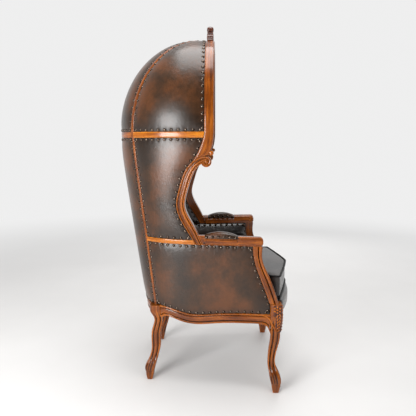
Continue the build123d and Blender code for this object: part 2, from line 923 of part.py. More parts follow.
with BuildPart() as rear_block:
    with BuildSketch(Plane.XY.offset(block_bottom)):
        with Locations(Location((rear_block_inner, rear_block_front), full_turn * block_angle_share)):
            with Locations((0, -joint_gap)):
                Rectangle(block_length, block_width, align=(Align.CENTER, Align.MAX))
    extrude(amount=rebate_height - block_bottom)
    add(body_form(rail_thickness + joint_gap), mode=Mode.INTERSECT)
save_pair(rear_block.part, "rear_corner_block")

# Webbing, dust cover and the upholstered platform with its rounded nose
webbing_front = front_rail_rear - rebate_width + joint_gap
with BuildPart() as seat_webbing:
    add(body_form(rail_thickness - rebate_width + joint_gap))
    add(
        floor_prism(seat_field(webbing_front), rebate_height + joint_gap, webbing_thickness),
        mode=Mode.INTERSECT,
    )
save(seat_webbing.part, "seat_webbing")

cover_front = front_rail_rear + joint_gap
with BuildPart() as dust_cover:
    add(body_form(rail_thickness + joint_gap))
    add(
        floor_prism(seat_field(cover_front), dust_cover_bottom, dust_cover_thickness),
        mode=Mode.INTERSECT,
    )
save(dust_cover.part, "dust_cover")

with BuildPart() as deck_nose:
    nose_half = -knee_inner - joint_gap
    with BuildSketch(Plane.XY.offset(front_rail_top + joint_gap)):
        with BuildLine():
            ThreePointArc((-nose_half, nose_side), (0, nose_bow), (nose_half, nose_side))
            Polyline(
                (-nose_half, nose_side),
                (-nose_half, knee_rear),
                (nose_half, knee_rear),
                (nose_half, nose_side),
            )
        make_face()
    extrude(amount=deck_top - front_rail_top - joint_gap)
    fillet(deck_nose.edges().filter_by(GeomType.CIRCLE), nose_radius)

with BuildPart() as seat_deck:
    add(body_form(pad_depth + joint_gap))
    split(bisect_by=Plane.XY.offset(deck_bottom), keep=Keep.TOP)
    split(bisect_by=Plane.XY.offset(deck_top), keep=Keep.BOTTOM)
    split(bisect_by=Plane.XZ.offset(-front_rail_rear - joint_gap), keep=Keep.BOTTOM)
    add(deck_nose.part)
save(seat_deck.part, "seat_deck")

# Hidden rails that the leather is tacked to, just above the seat frame
tack_rail_top = tack_rail_bottom + tack_rail_width
with BuildPart() as arm_tack_rail:
    add(body_core)
    add(
        side_box(body_front, slab_reach, tack_rail_bottom, tack_rail_top), mode=Mode.INTERSECT
    )
    add(support_field(joint_gap), mode=Mode.SUBTRACT)
    add(past_stile, mode=Mode.SUBTRACT)
save_pair(arm_tack_rail.part, "arm_tack_rail")

with BuildPart() as back_tack_rail:
    add(body_core)
    add(behind_stiles, mode=Mode.INTERSECT)
    split(bisect_by=Plane.XY.offset(tack_rail_bottom), keep=Keep.TOP)
    split(bisect_by=Plane.XY.offset(tack_rail_top), keep=Keep.BOTTOM)
save(back_tack_rail.part, "back_tack_rail")

# Outside leather
with BuildPart() as hood_side:
    add(hood_leather)
    split(bisect_by=Plane.XY.offset(spring_height + joint_gap), keep=Keep.TOP)
    split(bisect_by=Plane.XZ.offset(-hoop_rear - joint_gap), keep=Keep.BOTTOM)
    split(bisect_by=Plane.YZ, keep=Keep.BOTTOM)
    add(past_rib, mode=Mode.SUBTRACT)
save_pair(hood_side.part, "hood_side_leather")

with BuildPart() as hood_back_leather:
    add(hood_leather)
    add(behind_ribs, mode=Mode.INTERSECT)
    split(bisect_by=Plane.XY.offset(spring_height + joint_gap), keep=Keep.TOP)
    split(bisect_by=Plane.XZ.offset(-hoop_rear - joint_gap), keep=Keep.BOTTOM)
save(hood_back_leather.part, "hood_back_leather")

with BuildPart() as wing_leather:
    add(body_leather)
    add(
        side_box(body_front, slab_reach, arm_band_top + joint_gap, band_bottom - joint_gap),
        mode=Mode.INTERSECT,
    )
    add(wing_field(joint_gap), mode=Mode.SUBTRACT)
    add(post_field(joint_gap), mode=Mode.SUBTRACT)
    add(past_stile, mode=Mode.SUBTRACT)
save_pair(wing_leather.part, "wing_leather")

with BuildPart() as arm_leather:
    add(body_leather)
    add(side_box(body_front, slab_reach, body_floor, arm_bottom - joint_gap), mode=Mode.INTERSECT)
    add(rail_field(joint_gap), mode=Mode.SUBTRACT)
    add(support_field(joint_gap), mode=Mode.SUBTRACT)
    add(past_stile, mode=Mode.SUBTRACT)
save_pair(arm_leather.part, "arm_leather")

with BuildPart() as back_leather:
    add(body_leather)
    add(behind_stiles, mode=Mode.INTERSECT)
    split(bisect_by=Plane.XY.offset(rail_rear_top + joint_gap), keep=Keep.TOP)
    split(bisect_by=Plane.XY.offset(band_bottom - joint_gap), keep=Keep.BOTTOM)
save(back_leather.part, "back_leather")

# Inside upholstery
past_middle = stile_slab(-joint_gap, side_reach)
with BuildPart() as wing_pad:
    add(body_pad)
    add(
        side_box(body_front, slab_reach, arm_bottom, spring_height - joint_gap), mode=Mode.INTERSECT
    )
    add(wing_field(joint_gap), mode=Mode.SUBTRACT)
    add(post_field(joint_gap), mode=Mode.SUBTRACT)
    add(past_middle, mode=Mode.SUBTRACT)
save_pair(wing_pad.part, "wing_pad")

with BuildPart() as arm_pad:
    add(body_pad)
    add(
        side_box(body_front, slab_reach, rail_rear_top + joint_gap, arm_bottom - joint_gap),
        mode=Mode.INTERSECT,
    )
    add(support_field(joint_gap), mode=Mode.SUBTRACT)
    add(past_middle, mode=Mode.SUBTRACT)
save_pair(arm_pad.part, "arm_pad")

with BuildPart() as back_pad:
    add(body_pad)
    add(both_sides(stile_slab(joint_gap, side_reach)), mode=Mode.INTERSECT)
    split(bisect_by=Plane.XY.offset(rail_rear_top + joint_gap), keep=Keep.TOP)
    split(bisect_by=Plane.XY.offset(spring_height - joint_gap), keep=Keep.BOTTOM)
save(back_pad.part, "back_pad")

hood_lining = wall(hood_form, pad_inset, pad_inset + lining_thickness)
with BuildPart() as side_lining:
    add(hood_lining)
    split(bisect_by=Plane.XZ.offset(-hood_front - lining_setback), keep=Keep.BOTTOM)
    split(bisect_by=Plane.YZ.offset(-joint_gap), keep=Keep.BOTTOM)
    add(rib_slab(-joint_gap, side_reach), mode=Mode.SUBTRACT)
save_pair(side_lining.part, "hood_side_lining")

with BuildPart() as back_lining:
    add(hood_lining)
    add(both_sides(rib_slab(joint_gap, side_reach)), mode=Mode.INTERSECT)
save(back_lining.part, "hood_back_lining")

# Loose seat cushion, crowned and drawn in at its seams
with BuildPart() as seat_cushion:
    top_seam = cushion_bottom + cushion_thickness
    sections = (
        (cushion_bottom, cushion_seam_draw),
        (cushion_bottom + cushion_seam_height, 0),
        (top_seam - cushion_seam_height, 0),
        (top_seam, cushion_seam_draw),
        (top_seam + cushion_crown, cushion_crown_draw),
    )
    for height, draw in sections:
        with BuildSketch(Plane.XY.offset(height)):
            add(cushion_section(draw))
    loft(ruled=True)
save(seat_cushion.part, "seat_cushion")
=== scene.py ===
import logging
import math
from contextlib import contextmanager
from dataclasses import dataclass, field
from enum import Enum
from typing import Callable, Iterator, Sequence

import bpy
import numpy as np
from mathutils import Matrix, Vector


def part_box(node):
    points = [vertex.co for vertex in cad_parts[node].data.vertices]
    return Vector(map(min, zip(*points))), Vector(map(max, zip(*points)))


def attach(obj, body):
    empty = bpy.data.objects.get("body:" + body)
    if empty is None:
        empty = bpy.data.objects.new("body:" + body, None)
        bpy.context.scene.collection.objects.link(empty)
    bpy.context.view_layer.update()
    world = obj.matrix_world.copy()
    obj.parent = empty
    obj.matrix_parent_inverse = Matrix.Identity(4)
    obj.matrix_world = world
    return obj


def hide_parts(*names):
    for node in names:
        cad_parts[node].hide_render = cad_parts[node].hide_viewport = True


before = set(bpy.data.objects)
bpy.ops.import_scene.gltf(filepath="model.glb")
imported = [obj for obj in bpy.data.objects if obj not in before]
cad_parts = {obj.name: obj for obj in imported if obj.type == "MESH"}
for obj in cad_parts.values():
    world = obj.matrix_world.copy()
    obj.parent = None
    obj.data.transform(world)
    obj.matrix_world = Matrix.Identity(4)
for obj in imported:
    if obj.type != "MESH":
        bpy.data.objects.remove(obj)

# Looks of the hall porter chair. Sizes are in millimetres until a mesh is made, in the frame
# of the CAD part: the sitter faces -Y, the sitter's right hand is on -X and +Z is up.

log = logging.getLogger("porter_chair")
logging.basicConfig(level=logging.INFO, format="%(name)s: %(message)s")

METRES = 0.001
QUARTER, FULL_TURN = math.pi / 2, 2 * math.pi
Grid = np.ndarray
Path = np.ndarray
Spot = Sequence[float]
Course = Callable[[Grid], Grid]
Mapper = Callable[[Grid, Grid, Grid], Grid]
Mesh = bpy.types.Object
Material = bpy.types.Material
Socket = bpy.types.NodeSocket


class Body(Enum):
    """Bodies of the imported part."""

    CHAIR = "chair"
    CUSHION = "cushion"


class Side(Enum):
    """Sides of the chair as the sitter has them."""

    RIGHT = "right"
    LEFT = "left"


class Slot(Enum):
    """Material slots of the record."""

    WOOD = "polished_mahogany"
    OUTSIDE = "antiqued_leather"
    INSIDE = "inside_leather"
    CUSHION = "cushion_leather"
    JUTE = "jute_webbing"
    CAMBRIC = "black_cambric"


class Border(Enum):
    """Borders of a patch: the axis that leads away from one, and whether it is the far one."""

    START = (1, False)
    END = (1, True)
    LOW = (0, False)
    HIGH = (0, True)


# Curves and surfaces


def unit(vectors: Grid) -> Grid:
    """Vectors brought to a length of 1."""
    return vectors / np.linalg.norm(vectors, axis=-1, keepdims=True)


def lengths(path: Path) -> Grid:
    """Length of a path up to each of its points."""
    return np.r_[0, np.cumsum(np.linalg.norm(np.diff(path, axis=0), axis=1))]


def read_along(places: Grid, length: Grid, rows: Grid) -> Grid:
    """Rows of values that go with lengths, read at places between them."""
    return np.stack([np.interp(places, length, column) for column in rows.T], axis=-1)


def even_path(path: Path, count: int) -> Path:
    """Take samples of a path at even steps of its length."""
    length = lengths(path)
    return read_along(np.linspace(0, length[-1], count), length, path)


def smooth_path(
    points: Sequence[Spot], count: int, start: Spot | None = None, end: Spot | None = None
) -> Path:
    """Sample a smooth cubic curve through points at even steps of its length.

    Args:
        points: Points that the curve passes through.
        count: Number of samples.
        start: Heading at the first point, or None for a free end.
        end: Heading at the last point, or None for a free end.

    Returns:
        Samples as rows.
    """
    knots = np.asarray(points, dtype=float)
    steps = np.linalg.norm(np.diff(knots, axis=0), axis=1)
    size = len(knots)
    matrix, right = np.zeros((size, size)), np.zeros_like(knots)
    for i in range(1, size - 1):
        before, after = 1 / steps[i - 1], 1 / steps[i]
        matrix[i, i - 1 : i + 2] = before, 2 * (before + after), after
        right[i] = (knots[i] - knots[i - 1]) * before**2 + (knots[i + 1] - knots[i]) * after**2
        right[i] *= 3
    for row, other, heading in ((0, 1, start), (-1, -2, end)):
        if heading is None:
            matrix[row, row], matrix[row, other] = 2, 1
            right[row] = 3 * (knots[max(row, other)] - knots[min(row, other)]) / steps[row]
        else:
            matrix[row, row] = 1
            right[row] = unit(np.asarray(heading, dtype=float))
    slopes = np.linalg.solve(matrix, right)
    dense = []
    for i, step in enumerate(steps):
        t = np.linspace(0, 1, 60, endpoint=i == size - 2)[:, None]
        dense.append(
            (2 * t**3 - 3 * t**2 + 1) * knots[i]
            + (t**3 - 2 * t**2 + t) * slopes[i] * step
            + (3 * t**2 - 2 * t**3) * knots[i + 1]
            + (t**3 - t**2) * slopes[i + 1] * step
        )
    return even_path(np.vstack(dense), count)


def offset_path(path: Path, width: Grid) -> Path:
    """Path in side view at a width to the right of another as it runs."""
    ahead = unit(np.gradient(path, axis=0))
    return path + np.c_[ahead[:, 1], -ahead[:, 0]] * width[:, None]


def read_off(path: Path, known: int, wanted: int, values: Grid) -> Grid:
    """Read one column of a path at values of another."""
    order = np.argsort(path[:, known])
    return np.interp(values, path[order, known], path[order, wanted])


def solve(shape: tuple[int, ...], first: float, last: float, misfit: Course) -> Grid:
    """Find where a rising function crosses zero, by halving.

    Args:
        shape: Shape of the values.
        first: Value where the function is negative.
        last: Value where it is positive.
        misfit: The function.

    Returns:
        The crossings.
    """
    low, high = np.full(shape, float(first)), np.full(shape, float(last))
    for _ in range(36):
        middle = (low + high) / 2
        under = misfit(middle) < 0
        low, high = np.where(under, middle, low), np.where(under, high, middle)
    return (low + high) / 2


@dataclass(frozen=True)
class Shell:
    """Outer face of the hooded shell: a plan that leans and flares below a quarter ellipsoid."""

    spring: float = 1145.0
    seat: float = 330.0
    half_width: float = 290.0
    back: float = 397.0
    shoulder: float = 30.0
    front: float = -352.0
    rise: float = 420.0
    taper: float = 11.0
    ease: float = 100.0
    lean: float = 0.157
    flare: float = 0.14
    hold: float = 0.5523
    side_hold: float = 0.62
    back_hold: float = 0.84
    rib_head: tuple[float, float] = (-15.0, -7.0)
    rib_foot: tuple[float, float] = (-181.0, 317.0)
    stile_foot: tuple[float, float] = (-217.0, 219.0)
    stile_angle: float = math.radians(127.0)

    def body_point(self, turn: Grid, height: Grid, inset: Grid) -> Grid:
        """Point of the body's wall.

        Args:
            turn: Place round the plan: -1 at the right front, 0 at the right shoulder, 1 at the
                middle of the back, 2 at the left shoulder.
            height: Heights.
            inset: Depths into the wall.

        Returns:
            Points, along the last axis.
        """
        turn, height, inset = np.broadcast_arrays(turn, height, inset)
        drop = np.maximum(self.spring - height, 0)
        part = drop / (self.spring - self.seat)
        flare = self.flare * (1 - (1 - part) ** 2)
        half = self.half_width - self.taper * part - inset
        back = self.back - self.lean * (np.hypot(drop, self.ease) - self.ease) - inset
        side_hold = self.hold + (self.side_hold - self.hold) * part
        back_hold = self.hold + (self.back_hold - self.hold) * part
        t = np.where(turn > 1, 2 - turn, turn)
        b = np.clip(t, 0, 1)
        depth = back - self.shoulder
        near_x = -half + flare * side_hold * depth
        near_y = self.shoulder + side_hold * depth
        c0, c1, c2, c3 = (1 - b) ** 3, 3 * b * (1 - b) ** 2, 3 * b**2 * (1 - b), b**3
        ahead = np.minimum(t, 0) * (self.shoulder - self.front)
        x = c0 * -half + c1 * near_x + c2 * -back_hold * half + flare * ahead
        y = c0 * self.shoulder + c1 * near_y + (c2 + c3) * back + ahead
        return np.stack([np.where(turn > 1, -x, x), y, height], axis=-1)

    def turn_at(
        self, axis: int, value: Grid, height: Grid, inset: Grid, first: float = -1.2
    ) -> Grid:
        """Place round the right half of the plan, beyond a first one, at an X or a Y."""
        value, height, inset = np.broadcast_arrays(value, height, inset)

        def misfit(turn: Grid) -> Grid:
            return self.body_point(turn, height, inset)[..., axis] - value

        return solve(value.shape, first, 1, misfit)

    def turn_at_stile(self, offset: Grid, height: Grid, inset: Grid) -> Grid:
        """Place round the right half of the plan at an offset from the middle of the stile.

        Args:
            offset: Offsets, positive towards the middle of the back.
            height: Heights.
            inset: Depths into the wall.

        Returns:
            Places round the plan.
        """
        offset, height, inset = np.broadcast_arrays(offset, height, inset)
        share = ((height - self.seat) / (self.spring - self.seat))[..., None]
        foot, head = np.array(self.stile_foot), np.array(self.rib_foot)
        middle = foot + (head - foot) * share
        across = np.array([math.sin(self.stile_angle), -math.cos(self.stile_angle)])

        def misfit(turn: Grid) -> Grid:
            return (self.body_point(turn, height, inset)[..., :2] - middle) @ across - offset

        return solve(offset.shape, 0, 1, misfit)

    def side_point(self, y: Grid, height: Grid, inset: Grid) -> Grid:
        """Point of the right side's wall above a place in side view."""
        return self.body_point(self.turn_at(1, y, height, inset), height, inset)

    def stile_point(self, offset: Grid, height: Grid, inset: Grid) -> Grid:
        """Point of the wall at an offset from the middle of the right stile."""
        return self.body_point(self.turn_at_stile(offset, height, inset), height, inset)

    def reach(self, point: Grid, inset: Grid) -> Grid:
        """Measure of how far out a point of the hood lies, 1 on its face at a depth."""
        behind = np.maximum(point[..., 1] - self.shoulder, 0)
        return np.sqrt(
            (point[..., 0] / (self.half_width - inset)) ** 2
            + (behind / (self.back - self.shoulder - inset)) ** 2
            + ((point[..., 2] - self.spring) / (self.rise - inset)) ** 2
        )

    def on_hood(self, point: Grid, inset: Grid) -> Grid:
        """Push points out or in onto the hood's face at a depth."""
        factor = 1 / np.maximum(self.reach(point, inset), 1e-6)
        behind = point[..., 1] - self.shoulder
        y = np.where(behind > 0, behind * factor, behind) + self.shoulder
        z = (point[..., 2] - self.spring) * factor + self.spring
        return np.stack([point[..., 0] * factor, y, z], axis=-1)

    def hood_normal(self, point: Grid) -> Grid:
        """Outward normal of the hood at points near it."""
        away = point - [0, self.shoulder, self.spring]
        away[..., 1] = np.maximum(away[..., 1], 0)
        normal = away / np.square([self.half_width, self.back - self.shoulder, self.rise])
        return normal / np.maximum(np.linalg.norm(normal, axis=-1, keepdims=True), 1e-9)

    def arch_point(self, angle: Grid, y: Grid, inset: Grid) -> Grid:
        """Point of the hood's straight front arch, its angle 0 at the right spring."""
        angle, y, inset = np.broadcast_arrays(angle, y, inset)
        x = -(self.half_width - inset) * np.cos(angle)
        return np.stack([x, y, self.spring + (self.rise - inset) * np.sin(angle)], axis=-1)

    def rib_point(self, offset: Grid, angle: Grid, inset: Grid) -> Grid:
        """Point of the hood at an offset from the middle of the right rib.

        Args:
            offset: Offsets, positive towards the middle of the back.
            angle: Angle over the rib's head, 0 at the foot and a quarter turn at the head.
            inset: Depths into the wall.

        Returns:
            Points, along the last axis.
        """
        offset, angle, inset = np.broadcast_arrays(offset, angle, inset)
        along = unit(np.subtract(self.rib_foot, self.rib_head))
        base = self.rib_head + np.array([along[1], -along[0]]) * offset[..., None]

        def place(run: Grid) -> Grid:
            flat = base + along * (run * np.cos(angle))[..., None]
            height = self.spring + run * np.sin(angle)
            return np.concatenate([flat, height[..., None]], axis=-1)

        return place(solve(offset.shape, 5, 900, lambda run: self.reach(place(run), inset) - 1))


# Meshes


def link_mesh(name: str, vertices: Grid, faces: Sequence[Sequence[int]]) -> Mesh:
    """Make a mesh object at the origin from points in millimetres.

    Args:
        name: Name of the object.
        vertices: Points as rows.
        faces: Vertex numbers of each face.

    Returns:
        The object, linked to the scene.
    """
    data = bpy.data.meshes.new(name)
    data.from_pydata((np.asarray(vertices) * METRES).tolist(), [], [list(f) for f in faces])
    data.update()
    piece = bpy.data.objects.new(name, data)
    bpy.context.scene.collection.objects.link(piece)
    return piece


def select_only(*pieces: Mesh) -> Mesh:
    """Make pieces the only selected ones, the first of them active, and return it."""
    bpy.ops.object.select_all(action="DESELECT")
    for piece in pieces:
        piece.select_set(True)
    bpy.context.view_layer.objects.active = pieces[0]
    return pieces[0]


@contextmanager
def editing(piece: Mesh) -> Iterator[None]:
    """Open a piece in edit mode with all of it selected, and close it after."""
    select_only(piece)
    bpy.ops.object.mode_set(mode="EDIT")
    bpy.ops.mesh.select_all(action="SELECT")
    yield
    bpy.ops.object.mode_set(mode="OBJECT")


def settle_normals(piece: Mesh, smooth_angle: float | None) -> Mesh:
    """Turn a closed piece's faces outward and shade it.

    Args:
        piece: The piece.
        smooth_angle: Largest angle that is shaded smooth, or None for smooth all over.

    Returns:
        The piece.
    """
    with editing(piece):
        bpy.ops.mesh.normals_make_consistent(inside=False)
    if smooth_angle is None:
        bpy.ops.object.shade_smooth()
    else:
        bpy.ops.object.shade_smooth_by_angle(angle=math.radians(smooth_angle))
    return piece


def apply_modifier(piece: Mesh, kind: str, **settings: object) -> Mesh:
    """Add a modifier, set its properties and apply it."""
    select_only(piece)
    modifier = piece.modifiers.new(kind.title(), kind)
    for key, value in settings.items():
        setattr(modifier, key, value)
    bpy.ops.object.modifier_apply(modifier=modifier.name)
    return piece


def remesh(piece: Mesh, voxel: float, passes: int = 0) -> Mesh:
    """Give a piece an even mesh and smooth it by a number of passes."""
    apply_modifier(piece, "REMESH", mode="VOXEL", voxel_size=voxel * METRES)
    return apply_modifier(piece, "SMOOTH", factor=0.5, iterations=passes) if passes else piece


def trim(piece: Mesh, place: Spot, way: Spot) -> Mesh:
    """Cut off what lies beyond a plane, on the side its normal points to, and close the cut."""
    point = tuple(c * METRES for c in place)
    with editing(piece):
        bpy.ops.mesh.bisect(
            plane_co=point, plane_no=tuple(way), clear_outer=True, use_fill=True
        )
    return settle_normals(piece, 38.0)


def set_out(size: Spot, centre: Spot, lean: float = 0.0) -> Mesh:
    """Size the form that was just added, lean it about the X axis and place it."""
    piece = bpy.context.active_object
    middle = (0, 0, 0)
    with editing(piece):
        bpy.ops.transform.resize(value=tuple(size), center_override=middle)
        if lean:
            angle = math.radians(lean)
            bpy.ops.transform.rotate(value=angle, orient_axis="X", center_override=middle)
        bpy.ops.transform.translate(value=tuple(c * METRES for c in centre))
    return piece


def lobe(centre: Spot, size: Spot, lean: float = 0.0, segments: int = 16) -> Mesh:
    """Model one rounded lobe of a carving.

    Args:
        centre: Its centre.
        size: Half its size along each axis, before it leans.
        lean: Turn about the X axis, in degrees.
        segments: Segments of its ball.

    Returns:
        The lobe.
    """
    bpy.ops.object.select_all(action="DESELECT")
    bpy.ops.mesh.primitive_uv_sphere_add(
        segments=segments, ring_count=segments // 2, radius=METRES
    )
    return set_out(size, centre, lean)


def barrel(centre: Spot, radius: float, tall: float, deep: float, soft: float) -> Mesh:
    """Model one drum that lies from front to back, its rims rounded.

    Args:
        centre: Its centre.
        radius: Half its width.
        tall: Half its height.
        deep: Half its depth.
        soft: Width of the rounding.

    Returns:
        The drum.
    """
    bpy.ops.object.select_all(action="DESELECT")
    bpy.ops.mesh.primitive_cylinder_add(
        vertices=36, radius=METRES, depth=2 * METRES, rotation=(QUARTER, 0, 0)
    )
    bpy.ops.object.transform_apply(location=False, rotation=True, scale=False)
    piece = set_out((radius, deep, tall), centre)
    return apply_modifier(piece, "BEVEL", width=soft * METRES, segments=4)


def carving(parts: Sequence[Mesh], name: str, voxel: float, passes: int) -> Mesh:
    """Join lobes into one carved piece, remeshed and smoothed."""
    piece = select_only(*parts)
    bpy.ops.object.join()
    piece.name = piece.data.name = name
    return settle_normals(remesh(piece, voxel, passes), None)


def grid_faces(rows: int, columns: int, wrap: bool = False) -> list[tuple[int, ...]]:
    """Faces of a grid of points, its last column joined to the first when it wraps."""
    return [
        (
            i * columns + j,
            i * columns + (j + 1) % columns,
            (i + 1) * columns + (j + 1) % columns,
            (i + 1) * columns + j,
        )
        for i in range(rows - 1)
        for j in range(columns if wrap else columns - 1)
    ]


def ring_faces(rows: int, columns: int, closed: bool = False) -> list[tuple[int, ...]]:
    """Faces over rings of points, their ends capped, or joined when closed."""
    last = (rows - 1) * columns
    if closed:
        ends = [(last + j, last + (j + 1) % columns, (j + 1) % columns, j) for j in range(columns)]
    else:
        ends = [tuple(range(columns)), tuple(last + j for j in range(columns))]
    return grid_faces(rows, columns, wrap=True) + ends


def gather(parts: Sequence[tuple[Grid, Sequence]]) -> tuple[Grid, list[list[int]]]:
    """Points and faces of several forms as one."""
    faces, count = [], 0
    for points, loops in parts:
        faces += [[count + n for n in loop] for loop in loops]
        count += len(points)
    return np.vstack([points for points, _ in parts]), faces


def loft(
    name: str, rings: Grid, smooth_angle: float | None, uv: tuple[Grid, Grid] | None = None,
    closed: bool = False,
) -> Mesh:
    """Lay a closed skin over rings of points.

    Args:
        name: Name of the piece.
        rings: Rings as rows.
        smooth_angle: Largest angle that is shaded smooth, or None for smooth all over.
        uv: Lengths along the rings and round one, or None for no UV map.
        closed: Whether the last ring meets the first.

    Returns:
        The piece.
    """
    rows, columns = rings.shape[:2]
    piece = link_mesh(name, rings.reshape(-1, 3), ring_faces(rows, columns, closed))
    if uv is not None:
        corners = np.zeros(len(piece.data.loops), dtype=int)
        piece.data.loops.foreach_get("vertex_index", corners)
        places = np.c_[np.repeat(uv[0], columns), np.tile(uv[1], rows)] * METRES
        layer = piece.data.uv_layers.new(name="length")
        layer.data.foreach_set("uv", places[corners].ravel())
    return settle_normals(piece, smooth_angle)


def tube(
    name: str, path: Path, radius: float | Grid, reference: Spot, sides: int = 10,
    closed: bool = False, run: Grid | None = None,
) -> Mesh:
    """Lay a round cord along a path.

    Args:
        name: Name of the piece.
        path: Points of its middle.
        radius: Its radius, or one at each point.
        reference: A way that is never along the path.
        sides: Points round it.
        closed: Whether its ends meet.
        run: Lengths along it for the UV map, or None for no UV map.

    Returns:
        The piece.
    """
    steps = np.roll(path, -1, axis=0) - np.roll(path, 1, axis=0)
    ahead = unit(steps if closed else np.gradient(path, axis=0))
    across = unit(np.cross(ahead, np.asarray(reference, dtype=float)))
    over = np.cross(across, ahead)
    angle = np.linspace(0, FULL_TURN, sides, endpoint=False)[None, :, None]
    thick = np.broadcast_to(radius, (len(path),))[:, None, None]
    round_it = across[:, None] * np.cos(angle) + over[:, None] * np.sin(angle)
    uv = None if run is None else (run, 2.0 * np.arange(sides))
    return loft(name, path[:, None] + thick * round_it, None, uv, closed)


def ribbon(name: str, low: Path, high: Path, section: Sequence[Spot], place: Mapper) -> Mesh:
    """Run a moulded section between two edges laid on the shell.

    Args:
        name: Name of the piece.
        low: Samples of the first edge, in the mapper's two coordinates.
        high: Samples of the second edge.
        section: Closed outline as shares from the first edge to the second, and depths.
        place: Turns two coordinates and a depth into a point.

    Returns:
        The closed piece, with its length and section as a UV map.
    """
    share, depth = np.asarray(section, dtype=float).T[:, None, :]
    first, second = (low[:, [k]] * (1 - share) + high[:, [k]] * share for k in (0, 1))
    rings = place(first, second, np.broadcast_to(depth, first.shape))
    uv = (lengths(rings.mean(axis=1)), lengths(rings[len(rings) // 2]))
    return loft(name, rings, 38.0, uv)


def moulding(width: float, back: float, relief: Sequence[Spot]) -> list[Spot]:
    """Closed section of a moulding.

    Args:
        width: Width that the relief is drawn for.
        back: Depth of the flat back.
        relief: Places across the width and depths of the face there, both in order.

    Returns:
        Outline as shares of the width and depths.
    """
    return [(x / width, d) for x, d in relief] + [(1.0, back), (0.0, back)]


def arc_relief(start: float, end: float, edge: float, middle: float, steps: int = 7) -> list[Spot]:
    """Part of a relief that swells or sinks as a round between two places.

    Args:
        start: First place across the width.
        end: Last place.
        edge: Depth at both.
        middle: Depth half way.
        steps: Number of points.

    Returns:
        Places and depths.
    """
    angles = [math.pi * k / (steps - 1) for k in range(steps)]
    return [
        (start + (end - start) * (1 - math.cos(a)) / 2, edge + (middle - edge) * math.sin(a))
        for a in angles
    ]


def flat_section(width: float, wall: float, crown: float) -> list[Spot]:
    """Section of a nearly flat strip with softened edges.

    Args:
        width: Width of the strip.
        wall: Depth of its back.
        crown: How much its middle stands over its edges.

    Returns:
        Outline as shares and depths.
    """
    soft = 1.6
    edge = [(0, soft + 1.2), (0.5, soft * 0.4 + 0.8), (soft, crown + 0.1)]
    middle = [
        (soft + (width - 2 * soft) * k / 6, crown * (1 - math.sin(math.pi * k / 6)))
        for k in range(1, 6)
    ]
    return moulding(width, wall, edge + middle + [(width - x, d) for x, d in reversed(edge)])


def mirrored(piece: Mesh, name: str) -> Mesh:
    """Copy a piece of the right side to the left, with its own mesh and its faces outward."""
    copy = piece.copy()
    copy.data = piece.data.copy()
    copy.name = copy.data.name = name
    bpy.context.scene.collection.objects.link(copy)
    places = np.zeros(len(copy.data.vertices) * 3)
    copy.data.vertices.foreach_get("co", places)
    places[::3] *= -1
    copy.data.vertices.foreach_set("co", places)
    copy.data.flip_normals()
    copy.data.update()
    return copy


def store(piece: Mesh, name: str, values: Grid) -> None:
    """Store a value at each vertex of a piece."""
    layer = piece.data.attributes.new(name, "FLOAT", "POINT")
    layer.data.foreach_set("value", values.astype(np.float32))


def mark_recesses(piece: Mesh) -> None:
    """Store how hollow the surface is at each point, for the dark glaze and painted shade in the
    carving's hollows.
    """
    mesh = piece.data
    count = len(mesh.vertices)
    points, ways = np.empty(count * 3, np.float32), np.empty(count * 3, np.float32)
    ends = np.empty(len(mesh.edges) * 2, np.int32)
    mesh.vertices.foreach_get("co", points)
    mesh.vertices.foreach_get("normal", ways)
    mesh.edges.foreach_get("vertices", ends)
    points, ways, ends = points.reshape(-1, 3) / METRES, ways.reshape(-1, 3), ends.reshape(-1, 2)
    here, there = np.r_[ends[:, 0], ends[:, 1]], np.r_[ends[:, 1], ends[:, 0]]
    step = points[there] - points[here]
    bend = 2 * (ways[here] * step).sum(1) / np.maximum((step**2).sum(1), 0.04)
    near = np.maximum(np.bincount(here, minlength=count), 1)
    hollow = np.bincount(here, bend, count) / near
    finely_meshed = np.median(np.linalg.norm(step, axis=1)) < 1.1
    for _ in range(1 if finely_meshed else 5):
        hollow = (hollow + np.bincount(here, hollow[there], count) / near) / 2
    store(piece, "recess", hollow)


def dress(
    piece: Mesh, material: Material, slot: Slot, nodes: Sequence[str] = (),
    fill: float | None = None, body: Body = Body.CHAIR,
) -> None:
    """Give a piece its material and its body, and hide the nodes it stands for.

    Args:
        piece: The piece.
        material: Its material.
        slot: The record's slot.
        nodes: CAD nodes that it replaces.
        fill: Share of its box that a padded piece fills, or None for a hard one. Not used.
        body: The body that it rides on.
    """
    piece.data.materials.clear()
    piece.data.materials.append(material)
    if slot is Slot.WOOD:
        mark_recesses(piece)
    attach(piece, body.value)
    if nodes:
        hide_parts(*nodes)
    log.info("%s: %d faces", piece.name, len(piece.data.polygons))


def dress_both(
    piece: Mesh, name: str, material: Material, slot: Slot, nodes: Sequence[str] = (),
    fill: float | None = None,
) -> None:
    """Name a right-hand piece, add its mirror image and dress both.

    Args:
        piece: The piece.
        name: Name of the pair.
        material: Their material.
        slot: The record's slot.
        nodes: Names of the pairs of CAD nodes that they replace.
        fill: Share of the box that a padded piece fills, or None for a hard one.
    """
    piece.name = piece.data.name = f"{name}_{Side.RIGHT.value}"
    pair = {Side.RIGHT: piece, Side.LEFT: mirrored(piece, f"{name}_{Side.LEFT.value}")}
    for side, copy in pair.items():
        dress(copy, material, slot, [f"{node}_{side.value}" for node in nodes], fill)


# Finishes


def linear(colour: Spot) -> tuple[float, ...]:
    """Colour of screen values from 0 to 255 as the shader takes it."""
    values = [value / 255 for value in colour]
    return (*(v / 12.92 if v <= 0.04045 else ((v + 0.055) / 1.055) ** 2.4 for v in values), 1.0)


